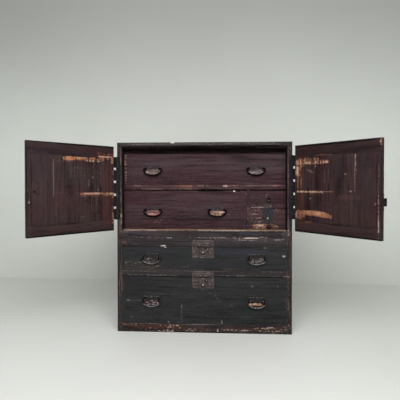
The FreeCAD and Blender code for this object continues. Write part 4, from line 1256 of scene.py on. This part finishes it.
# levels of a keeper's lower and upper nails, its middle, half width and face
KEEPER_NAILS = [(0.4573, 0.4795, LOCK_X, LOCK_HALF, CASE_FACE),
                (0.2983, 0.3165, LOCK_X, LOCK_HALF, CASE_FACE),
                (0.6545, 0.667, SMALL_LOCK_X, 0.018, INNER_FACE)]
# the shallow drawer's lock has no nail at its lower right
PLATE_NAILS = {
    "shallow_drawer": [(LOCK_X - LOCK_HALF, CASE_FACE, 0.3982),
                       (LOCK_X - LOCK_HALF, CASE_FACE, 0.444),
                       (LOCK_X + LOCK_HALF, CASE_FACE, 0.444)],
    "deep_drawer": [(LOCK_X + half, CASE_FACE, z) for half in (-LOCK_HALF, LOCK_HALF)
                    for z in (0.2402, 0.286)],
    "small_lower_drawer": [(SMALL_LOCK_X + half, INNER_FACE, z) for half in (-0.0225, 0.0225)
                           for z in (0.5804, 0.6434)],
}
PEGS = 7  # fingers of a corner joint that show a peg
PEG_RISE, BACK_NAIL_RISE, BACK_NAIL_DEPTH = 0.0006, 0.001, 0.0012


class CHEST_OT_nails(bpy.types.Operator):
    """Set nail heads in hinges, lock plates, keepers and back planks, and pegs in the corners"""
    bl_idname = "chest.nails"
    bl_label = "Nails and pegs"

    def execute(self, context):
        sizes = context.scene.chest_sizes
        tree = nail_tree()
        case_spots = hinge_spots("left", "case") + hinge_spots("right", "case")
        for side in ("left", "right"):
            nailed(f"{side}_hinge_nails", hinge_spots(side, "door"), side + "_door", tree,
                   hinge_iron(), sizes.nail_radius, sizes.nail_rise)
        case_spots += [(Vector((x + sign * half, face, z)), OUT)
                       for low_z, high_z, x, half, face in KEEPER_NAILS
                       for sign in (-1, 1) for z in (low_z, high_z)]
        nailed("case_nails", case_spots, "case", tree, hinge_iron(), sizes.nail_radius,
               sizes.nail_rise)
        for body, rows in PLATE_NAILS.items():
            iron = blue_lock_iron() if body.startswith("small") else lock_iron()
            nailed(body + "_plate_nails", [(Vector(row), OUT) for row in rows], body, tree, iron,
                   sizes.nail_radius * 0.9, sizes.nail_rise)
        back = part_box("back_boards")[1].y
        sides = levels("back_boards", 0)
        middle, top = levels("back_boards", 2)[1:3]
        spots = []
        for number in range(0, len(sides), 2):
            for across in (0.2, 0.8):
                x = sides[number] + (sides[number + 1] - sides[number]) * across
                spots += [(Vector((x, back - BACK_NAIL_DEPTH, level)), -OUT)
                          for level in (0.012, 0.165, 0.31, middle - 0.012, middle + 0.012,
                                        0.66, 0.82, top - 0.012)]
        nailed("back_nails", spots, "case", tree, hinge_iron(), sizes.nail_radius,
               BACK_NAIL_RISE)
        pegs = []
        for node, level in (("upper_top_board", 0.0115), ("lower_top_board", 0.01)):
            low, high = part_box(node)
            for number in range(PEGS):
                y = low.y + (high.y - low.y) / PEGS * (number + 0.5)
                pegs += [(Vector((x, y, high.z - level)), Vector((way, 0.0, 0.0)))
                         for x, way in ((low.x, -1.0), (high.x, 1.0))]
        nailed("corner_pegs", pegs, "case", tree, upper_frame_wood("z"), sizes.peg_radius,
               PEG_RISE)
        return {"FINISHED"}


ARC_STEPS = 12
ARC_RADII = (0.0205, 0.0265)
BORDER_HALF, BORDER_DEPTH = 0.0535, 0.0535


def lock_lines(button_z, top_z):
    """Chased lines of a lock plate in a shut drawer: nested U shapes round the button, and a
    border."""
    points, edges = [], []

    def line(row):
        start = len(points)
        points.extend((LOCK_X + across, CASE_FACE, z) for across, z in row)
        edges.extend((start + number, start + number + 1) for number in range(len(row) - 1))

    for radius in ARC_RADII:
        turns = [math.pi * (1 + step / ARC_STEPS) for step in range(ARC_STEPS + 1)]
        line([(-radius, top_z - 0.004)]
             + [(radius * math.cos(turn), button_z + radius * math.sin(turn)) for turn in turns]
             + [(radius, top_z - 0.004)])
    half, foot = BORDER_HALF, top_z - BORDER_DEPTH
    line([(-half, top_z - 0.003), (-half, foot), (half, foot), (half, top_z - 0.003)])
    mesh = bpy.data.meshes.new("lines")
    mesh.from_pydata(points, edges, [])
    return mesh


class CHEST_OT_lock_lines(bpy.types.Operator):
    """Chase the raised lines of the two large lock plates"""
    bl_idname = "chest.lock_lines"
    bl_label = "Lock ornament"

    def execute(self, context):
        tree = raised_line_tree()
        radius = context.scene.chest_sizes.line_radius
        for body, top in (("shallow_drawer", 0.4494), ("deep_drawer", 0.2914)):
            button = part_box(body.replace("_drawer", "_lock_button"))
            middle = (button[0].z + button[1].z) / 2
            grown(tree, body + "_lock_lines", lock_lines(middle, top),
                  {"Radius": radius, "Iron": lock_iron()}, body)
        return {"FINISHED"}


# Floor, backdrop, lamps and camera

# painted shade: the backdrop's colour darkens between these heights, standing in for less light
# high up
HIGH_SHADE_FROM, HIGH_SHADE_TO = 0.9, 2.3  # heights between which the backdrop falls off to grey
FLOOR_HALF, WALL_HEIGHT = 9, 3.6
WALL_LEFT, WALL_RIGHT = (-4.2, 1.13, 0.0), (4.2, 0.92, 0.0)  # so its foot lies as in the photo
# name, place, what it is aimed at, width, depth and power
LAMPS = (("key_lamp", (0.1, -2.15, 2.25), (0.0, -0.7, 0.0), 2.4, 1.0, 78.0),
         ("foot_lamp", (0.0, -1.7, 1.3), (0.0, -1.1, 0.0), 1.8, 0.5, 3.0),
         ("left_lamp", (-3.4, -2.4, 2.6), (0.0, 0.1, 0.5), 2.0, 1.6, 13.0),
         ("right_lamp", (3.4, -2.4, 2.6), (0.0, 0.1, 0.5), 2.0, 1.6, 5.0))
ROOM_LIGHT = 0.44
# the camera fitted to the photo
CAMERA_PLACE, CAMERA_TURN = (0.0781, -1.9157, 0.7751), (89.21, 0.04, 2.92)
CAMERA_LENS, CAMERA_SHIFT = 33.24, (0.0003, -0.0261)


def plain_ground(name, colour, gloss, painted_high_shade):
    """Smooth pale cement or paint: even, with faint wide clouds and hardly any relief; the backdrop
    is painted darker towards grey higher up, as painted shade. Its back is clear, so that the chest
    can be seen from behind."""
    material, tree = new_material(name)
    where = add(tree, "ShaderNodeTexCoord").outputs["Object"]
    clouds = noisy(tree, where, 1.6, 4.0)
    shaded = mixed(tree, ranged(tree, clouds, 0.3, 0.7, 0.1), colour, "#a9aaa5")
    height = add(tree, "ShaderNodeSeparateXYZ", {0: where}).outputs[2]
    # painted shade, rising with height on the backdrop
    up = add(tree, "ShaderNodeMapRange", {"Value": height, "From Min": HIGH_SHADE_FROM,
                                          "From Max": HIGH_SHADE_TO, "To Max": painted_high_shade},
             interpolation_type="SMOOTHSTEP").outputs[0]
    shader = finished(tree, mixed(tree, up, shaded, "#7c7d79"), gloss, clouds, 0.05, 0.12)
    back = add(tree, "ShaderNodeNewGeometry").outputs["Backfacing"]
    tree.links.new(compute(tree, "SUBTRACT", 1.0, back), shader.inputs["Alpha"])
    return material


def sheet(name, corners, material):
    """A flat four-cornered piece of the stage."""
    mesh = bpy.data.meshes.new(name)
    mesh.from_pydata(corners, [], [(0, 1, 2, 3)])
    mesh.materials.append(material)
    made = bpy.data.objects.new(name, mesh)
    bpy.context.scene.collection.objects.link(made)
    return made


class CHEST_OT_stage(bpy.types.Operator):
    """Set the pale floor, the backdrop, the soft lamps and the camera"""
    bl_idname = "chest.stage"
    bl_label = "Stage"

    def execute(self, context):
        own = context.scene.chest_colours
        collection = context.scene.collection
        wide = FLOOR_HALF
        floor = sheet("floor", [(-wide, -wide, 0), (wide, -wide, 0), (wide, wide, 0),
                                (-wide, wide, 0)],
                      plain_ground("smooth_cement_floor", own.floor, 0.55, 0.0))
        left, right, up = Vector(WALL_LEFT), Vector(WALL_RIGHT), Vector((0.0, 0.0, WALL_HEIGHT))
        wall = sheet("backdrop", [left, right, right + up, left + up],
                     plain_ground("matt_painted_backdrop", own.wall, 0.9, 0.56))

        for name, place, aim, width, depth, power in LAMPS:
            light = bpy.data.lights.new(name, "AREA")
            light.shape = "RECTANGLE"
            light.size, light.size_y, light.energy = width, depth, power
            lamp = bpy.data.objects.new(name, light)
            lamp.location = place
            away = Vector(aim) - Vector(place)
            lamp.rotation_euler = away.to_track_quat("-Z", "Y").to_euler()
            collection.objects.link(lamp)
        world = bpy.data.worlds.new("soft_room")
        world.use_nodes = True
        sky = world.node_tree.nodes["Background"]
        sky.inputs["Color"].default_value = linear("#f4f5f2")
        sky.inputs["Strength"].default_value = ROOM_LIGHT
        context.scene.world = world

        lens = bpy.data.cameras.new("camera")
        lens.sensor_width, lens.lens = 36.0, CAMERA_LENS
        lens.shift_x, lens.shift_y = CAMERA_SHIFT
        camera = bpy.data.objects.new("camera", lens)
        camera.location = CAMERA_PLACE
        camera.rotation_euler = [math.radians(turn) for turn in CAMERA_TURN]
        collection.objects.link(camera)
        context.scene.camera = camera
        context.scene.view_settings.view_transform = "Standard"
        return {"FINISHED"}


STEPS = (CHEST_OT_stage, CHEST_OT_case_boards, CHEST_OT_inner_frame, CHEST_OT_drawer_fronts,
         CHEST_OT_hidden_boards, CHEST_OT_doors, CHEST_OT_ironwork, CHEST_OT_lock_lines,
         CHEST_OT_nails)


class CHEST_PT_panel(bpy.types.Panel):
    """Lists the chest's sizes, colours and building steps"""
    bl_idname = "CHEST_PT_panel"
    bl_label = "Isho clothing chest"
    bl_space_type = "VIEW_3D"
    bl_region_type = "UI"
    bl_category = "Chest"

    def draw(self, context):
        for step in STEPS:
            self.layout.operator(step.bl_idname)
        for settings in (context.scene.chest_sizes, context.scene.chest_colours):
            box = self.layout.box()
            for name in settings.__annotations__:
                box.prop(settings, name)


CLASSES = (ChestSizes, ChestColours, *STEPS, CHEST_PT_panel)


def register():
    for kind in CLASSES:
        bpy.utils.register_class(kind)
    bpy.types.Scene.chest_sizes = PointerProperty(type=ChestSizes)
    bpy.types.Scene.chest_colours = PointerProperty(type=ChestColours)


def unregister():
    del bpy.types.Scene.chest_colours
    del bpy.types.Scene.chest_sizes
    for kind in reversed(CLASSES):
        bpy.utils.unregister_class(kind)


def main():
    """Build the whole chest in order."""
    register()
    for step in STEPS:
        group, name = step.bl_idname.split(".")
        getattr(getattr(bpy.ops, group), name)()


if __name__ == "__main__":
    main()
